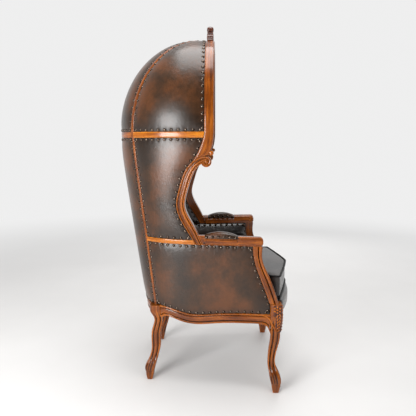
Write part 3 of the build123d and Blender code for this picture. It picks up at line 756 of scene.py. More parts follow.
class Board:
    """Short way to lay out the nodes of a tree."""

    def __init__(self, tree: bpy.types.NodeTree, output: str) -> None:
        """Empty a tree and add its output."""
        tree.nodes.clear()
        self.tree = tree
        self.output = self.add(output)

    def put(self, node: bpy.types.Node, inputs: dict) -> None:
        """Set or link inputs of a node."""
        for key, value in inputs.items():
            if isinstance(value, Socket):
                self.tree.links.new(value, node.inputs[key])
            else:
                node.inputs[key].default_value = value

    def add(self, kind: str, inputs: dict | None = None, **settings: object) -> bpy.types.Node:
        """Add a node.

        Args:
            kind: Node type without its prefix.
            inputs: Values or output sockets for the inputs.
            settings: Properties of the node.

        Returns:
            The node.
        """
        node = self.tree.nodes.new("ShaderNode" + kind)
        for key, value in settings.items():
            setattr(node, key, value)
        self.put(node, inputs or {})
        return node

    def math(self, operation: str, first: object, second: object) -> Socket:
        """Work out something from two values."""
        return self.add("Math", {0: first, 1: second}, operation=operation).outputs[0]

    def scaled(self, value: Socket, factor: float, plus: object = 0.0) -> Socket:
        """Multiply a value and add to it."""
        return self.math("ADD", self.math("MULTIPLY", value, factor), plus)

    def span(self, value: Socket, low: float, high: float, top: float = 1.0, **how: str) -> Socket:
        """Bring what lies between two limits to a range from 0 to a top."""
        inputs = {"Value": value, "From Min": low, "From Max": high, "To Max": top}
        return self.add("MapRange", inputs, **how).outputs[0]

    def mix(self, share: object, first: object, second: object, blend: str = "MIX") -> Socket:
        """Mix two colours by a share."""
        inputs = {0: share, 6: first, 7: second}
        return self.add("Mix", inputs, data_type="RGBA", blend_type=blend).outputs[2]

    def ramp(self, value: Socket, places: Spot, colours: Sequence[tuple]) -> Socket:
        """Turn a value into a colour through stops."""
        node = self.add("ValToRGB", {0: value})
        stops = node.color_ramp.elements
        while len(stops) < len(places):
            stops.new(0.5)
        for stop, place, colour in zip(stops, places, colours):
            stop.position, stop.color = place, colour
        return node.outputs[0]

    def noise(self, vector: Socket, scale: float, detail: float, rough: float = 0.55) -> Socket:
        """Add a noise and return its value."""
        inputs = {"Vector": vector, "Scale": scale, "Detail": detail, "Roughness": rough}
        return self.add("TexNoise", inputs).outputs[0]

    def bump(
        self, height: Socket, strength: float, distance: float, under: Socket | None = None
    ) -> Socket:
        """Add a bump and return its normal."""
        inputs = {"Height": height, "Strength": strength, "Distance": distance}
        return self.add("Bump", inputs if under is None else {**inputs, "Normal": under}).outputs[0]


class MaterialBoard(Board):
    """Board of a new material with one shader."""

    def __init__(self, name: str) -> None:
        """Start a material of a name."""
        self.material = bpy.data.materials.new(name)
        self.material.use_nodes = True
        super().__init__(self.material.node_tree, "OutputMaterial")
        self.shader = self.add("BsdfPrincipled")
        self.put(self.output, {0: self.shader.outputs[0]})
        self.place = self.add("TexCoord").outputs["Object"]

    def finish(self, **inputs: object) -> Material:
        """Set the shader's inputs, their names joined by underscores, and return the material."""
        self.put(self.shader, {key.replace("_", " "): value for key, value in inputs.items()})
        return self.material


@dataclass(frozen=True)
class Wood:
    """Polished wood with a streaky grain, in a dark, a middle and a light colour."""

    name: str
    colours: tuple = ((62, 25, 4), (120, 58, 5), (178, 98, 15))
    # Colour of the glaze and of the painted shade in the hollows.
    glaze_and_shade: tuple = (30, 9, 3)
    roughness: float = 0.26
    coat: float = 0.4
    along_uv: bool = True
    spread: tuple = (70.0, 12.0, 12.0)

    def build(self) -> Material:
        """Lay out the wood's nodes.

        Returns:
            The material.
        """
        board = MaterialBoard(self.name)
        source = board.add("TexCoord").outputs["UV"] if self.along_uv else board.place
        stretch = (5.0, 90.0, 1.0) if self.along_uv else self.spread
        lengthwise = board.add("Mapping", {"Vector": source, "Scale": stretch}).outputs[0]
        streak = board.noise(lengthwise, 1.0, 6.0, 0.6)
        broad = board.noise(board.place, 9.0, 3.0, 0.5)
        pores = board.noise(lengthwise, 7.0, 2.0, 0.5)
        tone = board.scaled(streak, 0.72, board.math("MULTIPLY", broad, 0.34))
        grain = board.ramp(tone, (0.36, 0.53, 0.70), [linear(c) for c in self.colours])
        worn = board.ramp(pores, (0.34, 0.47), [(0.55, 0.5, 0.48, 1), (1, 1, 1, 1)])
        shade = board.mix(0.55, grain, worn, "MULTIPLY")
        recess = board.add("Attribute", attribute_name="recess").outputs["Fac"]
        # The convex ridges are mixed towards the light colour.
        lighter_on_ridges = board.mix(board.span(recess, -0.03, -0.2, 0.45), shade, linear(self.colours[2]))
        # Painted shade: the hollows are darkened towards the glaze colour, standing for the glaze
        # and for the shade that falls in the grooves.
        glazed_and_shaded = board.mix(board.span(recess, 0.006, 0.07, 0.94), lighter_on_ridges, linear(self.glaze_and_shade))
        return board.finish(
            Base_Color=glazed_and_shaded, Roughness=board.scaled(broad, 0.22, self.roughness - 0.1),
            Coat_Weight=self.coat, Coat_Roughness=0.1, Specular_IOR_Level=0.3,
            Normal=board.bump(streak, 0.12, 0.0006),
        )


@dataclass(frozen=True)
class Leather:
    """Aged leather with a pebbled grain, clouded colour and rims darkened with painted shade."""

    name: str
    colours: tuple = ((36, 22, 9), (58, 34, 13), (90, 49, 17))
    # Colour of the painted shade at the rims.
    rim: tuple = (28, 15, 9)
    roughness: float = 0.34
    coat: float = 0.3
    crease: float = 0.22
    shine: float = 0.4

    def build(self) -> Material:
        """Lay out the leather's nodes.

        Returns:
            The material.
        """
        board = MaterialBoard(self.name)
        cloud = board.noise(board.place, 6.5, 2.5, 0.5)
        fine = board.noise(board.place, 60.0, 5.0, 0.65)
        tone = board.scaled(cloud, 0.78, board.math("MULTIPLY", fine, 0.24))
        hide = board.ramp(tone, (0.38, 0.51, 0.66), [linear(c) for c in self.colours])
        rim = board.add("Attribute", attribute_name="rim").outputs["Fac"]
        inputs = {"Vector": board.place, "Scale": 330.0}
        pebble = board.add("TexVoronoi", inputs, feature="SMOOTH_F1").outputs[0]
        folded = board.bump(board.noise(board.place, 42.0, 5.0, 0.7), self.crease, 0.004)
        return board.finish(
            # Painted shade: the rims are mixed towards the rim colour.
            Base_Color=board.mix(board.math("MULTIPLY", rim, 0.6), hide, linear(self.rim)),
            Roughness=board.scaled(fine, 0.2, self.roughness - 0.1),
            Coat_Weight=self.coat, Coat_Roughness=0.22, Specular_IOR_Level=self.shine,
            Normal=board.bump(pebble, 0.55, 0.0007, folded),
        )


@dataclass(frozen=True)
class Metal:
    """Tarnished metal of the nail heads."""

    name: str
    colours: tuple = ((40, 30, 24), (122, 106, 94))
    roughness: float = 0.23

    def build(self) -> Material:
        """Lay out the metal's nodes.

        Returns:
            The material.
        """
        board = MaterialBoard(self.name)
        spots = board.noise(board.place, 180.0, 3.0, 0.6)
        return board.finish(
            Base_Color=board.ramp(spots, (0.35, 0.7), [linear(c) for c in self.colours]),
            Metallic=1.0, Roughness=board.scaled(spots, 0.25, self.roughness - 0.1),
            Normal=board.bump(spots, 0.3, 0.0006),
        )


@dataclass(frozen=True)
class Cloth:
    """Plain-woven cloth, such as cambric or jute webbing."""

    name: str
    colours: tuple
    threads: float = 75.0
    roughness: float = 0.9

    def build(self) -> Material:
        """Lay out the cloth's nodes.

        Returns:
            The material.
        """
        board = MaterialBoard(self.name)
        inputs = {
            "Vector": board.place, "Scale": self.threads, "Distortion": 0.6, "Detail": 1.0
        }
        warp, weft = (
            board.add("TexWave", inputs, bands_direction=axis).outputs[1] for axis in "XY"
        )
        weave = board.math("MULTIPLY", warp, weft)
        dust = board.math("MULTIPLY", board.noise(board.place, 30.0, 4.0, 0.6), 0.5)
        tone = board.scaled(weave, 0.5, dust)
        return board.finish(
            Base_Color=board.ramp(tone, (0.2, 0.7), [linear(c) for c in self.colours]),
            Roughness=self.roughness, Normal=board.bump(weave, 0.5, 0.0008),
        )


def made_by(recipe: Wood | Leather | Metal | Cloth) -> Material:
    """Field of a material that a recipe builds."""
    return field(default_factory=recipe.build)


@dataclass
class Finishes:
    """Every material of the chair."""

    mahogany: Material = made_by(Wood("mahogany"))
    carved: Material = made_by(
        Wood("carved_mahogany", ((80, 33, 6), (138, 68, 10), (198, 112, 24)), along_uv=False)
    )
    golden_wood: Material = made_by(
        Wood("golden_mahogany", ((116, 56, 6), (172, 94, 12), (214, 132, 30)))
    )
    rail_wood: Material = made_by(
        Wood("rail_mahogany", along_uv=False, spread=(5.0, 60.0, 70.0))
    )
    crest_wood: Material = made_by(
        Wood("crest_mahogany", ((38, 16, 9), (70, 31, 16), (110, 56, 30)), along_uv=False)
    )
    frame_wood: Material = made_by(Wood(
        "frame_wood", ((104, 70, 42), (140, 100, 64), (168, 126, 86)),
        roughness=0.6, coat=0.0, along_uv=False,
    ))
    outside: Material = made_by(Leather("outside_leather"))
    inside: Material = made_by(Leather(
        "inside_leather", ((24, 19, 17), (46, 37, 32), (78, 64, 54)), (20, 16, 14),
        coat=0.6, crease=0.5, shine=0.6,
    ))
    cushion: Material = made_by(Leather(
        "cushion_leather", ((20, 17, 16), (36, 31, 29), (62, 54, 50)), (16, 14, 13),
        roughness=0.38, coat=0.35, crease=0.3,
    ))
    piping: Material = made_by(Leather(
        "piping_leather", ((11, 10, 10), (18, 16, 16), (30, 27, 26)), (10, 9, 9),
        roughness=0.5, coat=0.0, crease=0.1, shine=0.2,
    ))
    nails: Material = made_by(Metal("nail_bronze"))
    cambric: Material = made_by(Cloth("cambric", ((14, 14, 15), (38, 37, 37))))
    jute: Material = made_by(Cloth("jute", ((110, 84, 52), (176, 146, 100)), threads=35.0))


# Patches and nails


@dataclass
class Patch:
    """A face of upholstery as a grid of points with outward normals."""

    points: Grid
    normals: Grid | None = None
    pitch: float = 30.0

    def __post_init__(self) -> None:
        """Work out the normals and the lengths along columns and rows."""
        if self.normals is None:
            across = np.cross(np.gradient(self.points, axis=1), np.gradient(self.points, axis=0))
            across /= np.maximum(np.linalg.norm(across, axis=-1, keepdims=True), 1e-9)
            outward = self.points - np.array([0, -60, 0])
            outward[..., 2] = 0
            self.normals = across * (np.sign(np.sum(across * outward)) or 1)
        self.runs = [self.run(axis) for axis in (0, 1)]

    def run(self, axis: int) -> Grid:
        """Length along one axis of the grid up to each point."""
        steps = np.linalg.norm(np.diff(self.points, axis=axis), axis=-1)
        zero = np.zeros_like(np.take(steps, [0], axis=axis))
        return np.cumsum(np.concatenate([zero, steps], axis=axis), axis=axis)

    def distance(self, border: Border) -> Grid:
        """Distance of each point from a border, along its row or column."""
        axis, far = border.value
        run = self.runs[axis]
        return np.take(run, [-1], axis) - run if far else run

    def nail_count(self, border: Border) -> int:
        """Number of nails along a border."""
        axis, far = border.value
        length = np.take(self.runs[1 - axis], -1 if far else 0, axis)[-1]
        return max(int(round(length / self.pitch)), 1)

    def share(self, border: Border) -> Grid:
        """Share of the way along a border that each point lies beside."""
        axis = 1 - border.value[0]
        return self.runs[axis] / np.maximum(np.take(self.runs[axis], [-1], axis), 1e-6)

    def rim(self, width: float) -> Grid:
        """How close each point is to the borders, from 1 at them to 0 away from them."""
        near = [np.maximum(self.distance(border), 0.01) ** -3.0 for border in Border]
        return np.exp(-(sum(near) ** (-1 / 3.0)) / width)

    def pucker(self, borders: Sequence[Border], width: float) -> Grid:
        """Ripple of the leather that nails draw down, 1 between them and -1 at them."""
        ripple = np.zeros(self.points.shape[:2])
        for border in borders:
            wave = np.cos(FULL_TURN * self.nail_count(border) * self.share(border))
            ripple += wave * np.exp(-self.distance(border) / width)
        return ripple

    def nail_places(self, border: Border, inset: float) -> tuple[Grid, Grid]:
        """Points and normals of the nails beside a border.

        Args:
            border: The border.
            inset: Distance from it.

        Returns:
            Points and normals as rows.
        """
        axis, far = border.value
        points, normals = self.points, self.normals
        if axis == 0:
            points, normals = points.swapaxes(0, 1), normals.swapaxes(0, 1)
        if far:
            points, normals = points[:, ::-1], normals[:, ::-1]
        line, lean = [], []
        for row, row_normals in zip(points, normals):
            length = lengths(row)
            place = min(inset, length[-1] / 2)
            line.append(read_along(place, length, row))
            lean.append(read_along(place, length, row_normals))
        length = lengths(np.array(line))
        count = self.nail_count(border)
        at = (np.arange(count) + 0.5) / count * length[-1]
        return read_along(at, length, np.array(line)), unit(read_along(at, length, np.array(lean)))

    def skin(self, name: str, height: Grid, thickness: float, rim: Grid) -> Mesh:
        """Make a closed skin of leather.

        Args:
            name: Name of the piece.
            height: How far each point is raised.
            thickness: Thickness, laid inward of the face.
            rim: Value of the rim attribute at each point.

        Returns:
            The piece.
        """
        rows, columns = self.points.shape[:2]
        count = rows * columns
        points = np.vstack([
            (self.points + self.normals * level[..., None]).reshape(-1, 3)
            for level in (height, height - thickness)
        ])
        faces = grid_faces(rows, columns)
        hidden = [tuple(count + n for n in reversed(face)) for face in faces]
        number = np.arange(count).reshape(rows, columns)
        ring = np.r_[number[0], number[1:, -1], number[-1, -2::-1], number[-2:0:-1, 0]].tolist()
        sides = [(a, count + a, count + b, b) for a, b in zip(ring, ring[1:] + ring[:1])]
        piece = link_mesh(name, points, faces + hidden + sides)
        # The rim attribute sets where the leather gets painted shade.
        store(piece, "rim", np.r_[rim.ravel(), rim.ravel()])
        with editing(piece):
            bpy.ops.mesh.remove_doubles(threshold=0.05 * METRES)
        return settle_normals(piece, 60.0)


@dataclass
class NailRow:
    """Domed nail heads collected for one piece, copied from one modelled head."""

    radius: float = 7.0
    height: float = 4.0
    places: list = field(default_factory=list)

    def head(self) -> tuple[Grid, list[list[int]]]:
        """Model one head with Blender's tools.

        Returns:
            Its points, about a head that faces +Z, and its faces.
        """
        bpy.ops.object.select_all(action="DESELECT")
        bpy.ops.mesh.primitive_uv_sphere_add(segments=12, ring_count=8, radius=self.radius)
        ball = bpy.context.active_object
        with editing(ball):
            bpy.ops.mesh.bisect(
                plane_co=(0, 0, 0.02), plane_no=(0, 0, 1), clear_inner=True, use_fill=True
            )
            bpy.ops.mesh.select_all(action="SELECT")
            flatter = (1, 1, self.height / self.radius)
            bpy.ops.transform.resize(value=flatter, center_override=(0, 0, 0))
        points = np.array([v.co for v in ball.data.vertices])
        faces = [list(f.vertices) for f in ball.data.polygons]
        bpy.data.objects.remove(ball)
        return points, faces

    def add(self, spots: Grid, ways: Grid) -> None:
        """Take places and outward ways for more heads."""
        self.places.extend(zip(spots, ways))

    def line(self, patch: Patch, borders: Sequence[Border], inset: float, lift: float) -> None:
        """Put nails along borders of a patch, facing the way that they are lifted."""
        for border in borders:
            spots, ways = patch.nail_places(border, inset)
            self.add(spots + ways * lift, ways * np.sign(lift))

    def build(self, name: str) -> Mesh:
        """Copy the head to every place as one mesh.

        Args:
            name: Name of the piece.

        Returns:
            The piece.
        """
        points, faces = self.head()
        parts = []
        wobble = np.random.default_rng(7)
        for spot, way in self.places:
            z = unit(unit(np.asarray(way)) + wobble.normal(0, 0.04, 3))
            x = unit(np.cross([0.3, 0.1, 1.0] if abs(z[2]) < 0.9 else [1.0, 0.2, 0.0], z))
            parts.append((points @ np.stack([x, np.cross(z, x), z]) + spot, faces))
        piece = select_only(link_mesh(name, *gather(parts)))
        bpy.ops.object.shade_smooth_by_angle(angle=math.radians(50))
        return piece


# Edges of the show wood, in side view


@dataclass(frozen=True)
class SideView:
    """Edges of the show wood in side view, as Y and Z."""

    spring: float = 1145.0
    band_bottom: float = 1119.0
    hoop_front: float = -48.0
    hoop_rear: float = -7.0
    wing_head: float = 1000.0
    volute: tuple[float, float] = (-15.0, 1018.0)
    volute_radius: float = 23.0
    arm_bottom: float = 657.0
    arm_band_top: float = 677.0
    arm_top: float = 698.0
    arm_front: float = -260.0
    arm_rear: float = 72.0
    seat_front: float = -152.0
    seat_rear: float = -8.0
    seat_level: float = 686.0
    frame_top: float = 361.0
    rear_rail_bottom: float = 318.0

    def wing_rear(self, count: int = 140) -> Path:
        """Rear edge of the wing rail, from the top of its volute down past the arm."""
        return smooth_path(
            [(-15, 1041), (62, 1000), (102, 905), (116, 828), (97, 765), (57, 698), (19, 632)],
            count, start=(1, 0), end=(-0.5, -0.85),
        )

    def wing_front(self, count: int = 140) -> Path:
        """Front edge of the wing rail, its width inside the rear edge."""
        share = np.linspace(0, 1, count)
        head = 15 * np.clip(share / 0.24, 0, 1) ** 0.8
        foot = 9 * np.clip((share - 0.74) / 0.2, 0, 1) ** 1.5
        return offset_path(self.wing_rear(count), 23 + head - foot)

    def post_rear(self) -> Path:
        """Rear edge of the post, from the band down to the wing rail."""
        knots = [(-7, 1145), (1, 1106), (26, 1046), (62, 1000)]
        return smooth_path(knots, 70, start=(0, -1), end=(0.7, -0.7))

    def post_front(self) -> Path:
        """Front edge of the post, on down to the wing rail and along it."""
        upper = smooth_path([(-48, 1145), (-45, 1106), (-34, 1062), (-26, 1047)], 70, (0, -1))
        wing = self.wing_rear(200)
        lower = wing[(wing[:, 0] > -12) & (wing[:, 0] < 58) & (wing[:, 1] > 950)] + 0.3
        return even_path(np.vstack([upper, lower[::4]]), 70)

    def wing_line(self, height: Grid) -> Grid:
        """Y of the wing panel's front edge, behind the post and the wing rail."""
        over, rail = (read_off(p, 1, 0, height) for p in (self.post_rear(), self.wing_rear()))
        return np.where(height > self.wing_head, over, rail)

    def support_front(self) -> Path:
        """Front edge of the arm support, from the arm down to the knee."""
        return smooth_path([(-259, 657), (-257, 611), (-290, 522), (-331, 405)], 60)

    def support_rear(self) -> Path:
        """Rear edge of the arm support."""
        return smooth_path([(-216, 657), (-220, 611), (-248, 522), (-292, 405)], 60)

    def rail_top(self, y: Grid, count: int = 300) -> Grid:
        """Height of the side rail's top edge, from the knee to the rear leg."""
        knots = [(-292, 358), (-60, 346), (60, 339), (165, 361), (262, 361)]
        return read_off(smooth_path(knots, count), 0, 1, y)

    def rail_bottom(self, y: Grid) -> Grid:
        """Height of the side rail's bottom edge, turned down into both legs."""
        edge = smooth_path([(-292, 312), (-60, 302), (60, 294), (165, 318), (262, 318)], 200)
        height = read_off(edge, 0, 1, y)
        for leg, radius in ((-295.0, 38.0), (188.5, 15.0)):
            into = np.clip(radius - np.maximum((leg - y) * np.sign(leg), 0), 0, radius)
            height = height - (radius - np.sqrt(np.maximum(radius**2 - into**2, 0)))
        return height


@dataclass(frozen=True)
class LegLine:
    """Course of a leg: height, middle in X and in Y, and width at each station."""

    stations: tuple[tuple[float, float, float, float], ...]
    corner: float = 4.6

    def path(self) -> Path:
        """Sample the course from the top down."""
        return smooth_path(self.stations, 150)

    def at(self, height: Grid) -> tuple[Grid, Grid, Grid]:
        """Middle in X and in Y and half width at heights."""
        path = self.path()
        x, y, width = (read_off(path, 0, column, height) for column in (1, 2, 3))
        return x, y, width / 2

    def outer_x(self, y: Grid, height: Grid) -> Grid:
        """X of the right leg's outer face, or 0 where the leg isn't."""
        x, middle, half = self.at(height)
        across = np.abs(y - middle) / half
        bulge = np.clip(1 - across**self.corner, 0, 1) ** (1 / self.corner)
        return np.where(across < 1, x - half * bulge, 0.0)


SHELL = Shell()
VIEW = SideView()
FRONT_LEG = LegLine((
    (404.7, -307.5, -319.5, 50), (360, -307.5, -319.5, 51), (320, -307.5, -319.5, 49),
    (300, -307.5, -319.5, 46), (246, -308, -319, 43), (200, -304, -312, 39), (153, -300, -306, 34),
    (118, -302, -307, 36), (87, -311, -317, 46), (55, -320, -324, 48), (38, -323, -325.5, 42),
    (14, -324, -325, 33), (0, -324, -325, 27),
))
REAR_LEG = LegLine((
    (361, -213, 219, 50), (330, -212, 219, 50), (303, -208, 209, 43), (235, -206, 219, 43),
    (160, -206, 221, 43), (127, -208, 226.5, 40), (88, -213, 239, 44), (57, -218, 249.5, 47),
    (36, -219.5, 250, 40), (12, -220, 251, 31), (0, -220, 251, 25),
))


# Leather


@dataclass(frozen=True)
class Wall:
    """Faces for upholstery at one depth in the wall, clear of the stile and the show wood."""

    inset: float
    edge: float
    gap: float

    def side(self, low: Course, high: float, front: Course, size: tuple[int, int]) -> Patch:
        """Patch of the right side between a front edge and the stile.

        Args:
            low: Gives the bottom's height at each Y.
            high: Height of the top.
            front: Gives the front edge's Y at each height.
            size: Rows from bottom to top and points in a row.

        Returns:
            The patch.
        """
        rows, columns = size
        up = np.linspace(0, 1, rows)[:, None]
        across = np.linspace(0, 1, columns)[None, :]
        y = np.zeros(size)
        for _ in range(6):
            bottom = low(y) + self.gap
            height = bottom + (high - self.gap - bottom) * up
            first = SHELL.turn_at(1, front(height) + self.gap, height, self.inset)
            last = SHELL.turn_at_stile(-self.edge, height, self.inset)
            points = SHELL.body_point(first + (last - first) * across, height, self.inset)
            y = points[..., 1]
        return Patch(points)

    def wing(self, low: float, high: float, size: tuple[int, int]) -> Patch:
        """Patch of the wing."""
        return self.side(lambda y: low + 0 * y, high, VIEW.wing_line, size)

    def arm(self, low: Course, size: tuple[int, int]) -> Patch:
        """Patch under the arm."""
        rear = VIEW.support_rear()
        return self.side(low, VIEW.arm_bottom, lambda z: read_off(rear, 1, 0, z), size)

    def back(self, high: float, size: tuple[int, int]) -> Patch:
        """Patch of the back between the stiles."""
        height = np.linspace(VIEW.frame_top + self.gap, high - self.gap, size[0])[:, None]
        first = SHELL.turn_at_stile(self.edge, height, self.inset)
        turn = first + (2 - 2 * first) * np.linspace(0, 1, size[1])[None, :]
        return Patch(SHELL.body_point(turn, height, self.inset))

    def hood(self, front_y: float, size: tuple[int, int]) -> tuple[Patch, Patch]:
        """Patches of the hood's right side, from a front edge, and of its back.

        Args:
            front_y: Y of the front edge.
            size: Rows and points in a row.

        Returns:
            The side's patch and the back's.
        """
        rows, columns = size
        up = np.linspace(0, 1, rows) ** 0.92 * 0.995
        lift = 0.6 / (SHELL.rise - self.inset)
        angle = lift + up * (QUARTER - lift)
        side_rib = SHELL.rib_point(-self.edge, angle, self.inset)
        back_rib = SHELL.rib_point(self.edge + 3.4, angle, self.inset)
        last = math.acos(min(abs(side_rib[-1, 0]) / (SHELL.half_width - self.inset), 1.0))
        arch = SHELL.arch_point(lift + up * (last - lift), front_y, self.inset)
        across = np.linspace(0, 1, columns)[None, :, None]
        patches = []
        for near, far in ((arch, side_rib), (back_rib, back_rib * np.array([-1, 1, 1]))):
            flat = near[:, None] * (1 - across) + far[:, None] * across
            points = SHELL.on_hood(flat, self.inset)
            patches.append(Patch(points, SHELL.hood_normal(points)))
        return patches[0], patches[1]


@dataclass
class OutsideLeather:
    """Leather panels that cover the outside, each drawn over a thin pad and nailed."""

    finishes: Finishes
    wall: Wall = Wall(inset=4.0, edge=6.5, gap=0.5)
    rise: float = 7.5
    ease: float = 34.0
    ripple: float = 0.75
    thickness: float = 8.0

    def panel(self, name: str, patch: Patch, borders: Sequence[Border]) -> Mesh:
        """Make one panel.

        Args:
            name: Name of the panel.
            patch: Its face.
            borders: Borders that are nailed.

        Returns:
            The panel.
        """
        level = self.rise * (1 - patch.rim(self.ease)) + 0.6
        level = level + self.ripple * patch.pucker(borders, 11.0)
        return patch.skin(name, level, self.thickness, patch.rim(16.0))

    def nails(self, name: str, patch: Patch, borders: Sequence[Border]) -> Mesh:
        """Make the nails along the borders of a panel."""
        row = NailRow()
        row.line(patch, borders, 7.6, 2.0)
        return row.build(name)

    def build(self) -> None:
        """Model and dress every panel."""
        wall, every = self.wall, tuple(Border)
        hood_side, hood_back = wall.hood(VIEW.hoop_rear + wall.gap, (110, 74))
        wing = wall.wing(VIEW.arm_band_top, VIEW.band_bottom, (96, 56))
        arm = wall.arm(lambda y: VIEW.rail_top(y, 90), (70, 110))
        back = wall.back(VIEW.band_bottom, (130, 84))
        for name, patch, borders, paired in (
            ("hood_side_leather", hood_side, every[:3], True),
            ("wing_leather", wing, every, True),
            ("arm_leather", arm, every, True),
            ("hood_back_leather", hood_back, every[:3], False),
            ("back_leather", back, every, False),
        ):
            panel, row = self.panel(name, patch, borders), name.replace("leather", "nails")
            if paired:
                dress_both(panel, name, self.finishes.outside, Slot.OUTSIDE, [name], 0.7)
                nails = self.nails(row, patch, borders)
                dress_both(nails, row, self.finishes.nails, Slot.OUTSIDE)
            else:
                dress(panel, self.finishes.outside, Slot.OUTSIDE, [name], 0.7)
                dress(self.nails(row, patch, borders), self.finishes.nails, Slot.OUTSIDE)


@dataclass
class InsideLeather:
    """Padded leather linings of the wings, arms, back and hood."""

    finishes: Finishes
    wall: Wall = Wall(inset=40.0, edge=0.8, gap=0.8)
    hood_wall: Wall = Wall(inset=39.0, edge=0.8, gap=0.8)
    fullness: float = 30.0
    hood_fullness: float = 19.0
    swell: float = 2.0
    ease: float = 26.0

    def pad(self, name: str, patch: Patch, fullness: float, roll: float) -> Mesh:
        """Make one pad on the inner side of a patch.

        Args:
            name: Name of the piece.
            patch: Its edge's level.
            fullness: How far the pad stands in from it.
            roll: Height of a roll along its top.

        Returns:
            The piece.
        """
        rim = patch.rim(self.ease)
        belly = np.sin(math.pi * patch.share(Border.START))
        belly = belly * np.sin(math.pi * patch.share(Border.LOW))
        level = -fullness * (1 - rim) ** 0.8 - self.swell * belly
        if roll:
            start, end, down = map(patch.distance, (Border.START, Border.END, Border.HIGH))
            ends = np.clip(np.minimum(start, end) / 30, 0, 1)
            bead, crease = np.exp(-(((down - 46) / 17) ** 2)), np.exp(-(((down - 78) / 9) ** 2))
            level -= roll * ends * (bead - 1.1 * crease)
        return patch.skin(name, level, -6.0, rim)

    def build(self) -> None:
        """Model and dress every pad."""
        wing = self.wall.wing(VIEW.arm_bottom, VIEW.spring, (90, 50))
        arm = self.wall.arm(lambda y: VIEW.frame_top + 0 * y, (56, 90))
        back = self.wall.back(VIEW.spring, (110, 70))
        hood_side, hood_back = self.hood_wall.hood(-41.0, (70, 56))
        leather = (self.finishes.inside, Slot.INSIDE)
        for name, patch, fullness, roll, paired in (
            ("wing_pad", wing, self.fullness, 0.0, True),
            ("arm_pad", arm, self.fullness - 2.0, 6.0, True),
            ("hood_side_lining", hood_side, self.hood_fullness, 0.0, True),
            ("back_pad", back, self.fullness, 0.0, False),
            ("hood_back_lining", hood_back, self.hood_fullness, 0.0, False),
        ):
            piece = self.pad(name, patch, fullness, roll)
            if paired:
                dress_both(piece, name, *leather, [name], 0.75)
            else:
                dress(piece, *leather, [name], 0.75)
        row = NailRow()
        row.line(wing, [Border.START], 9.0, -12.0)
        row.line(arm, [Border.START, Border.HIGH], 9.0, -12.0)
        dress_both(row.build("inner_nails"), "inner_nails", self.finishes.nails, Slot.INSIDE)


# Show wood


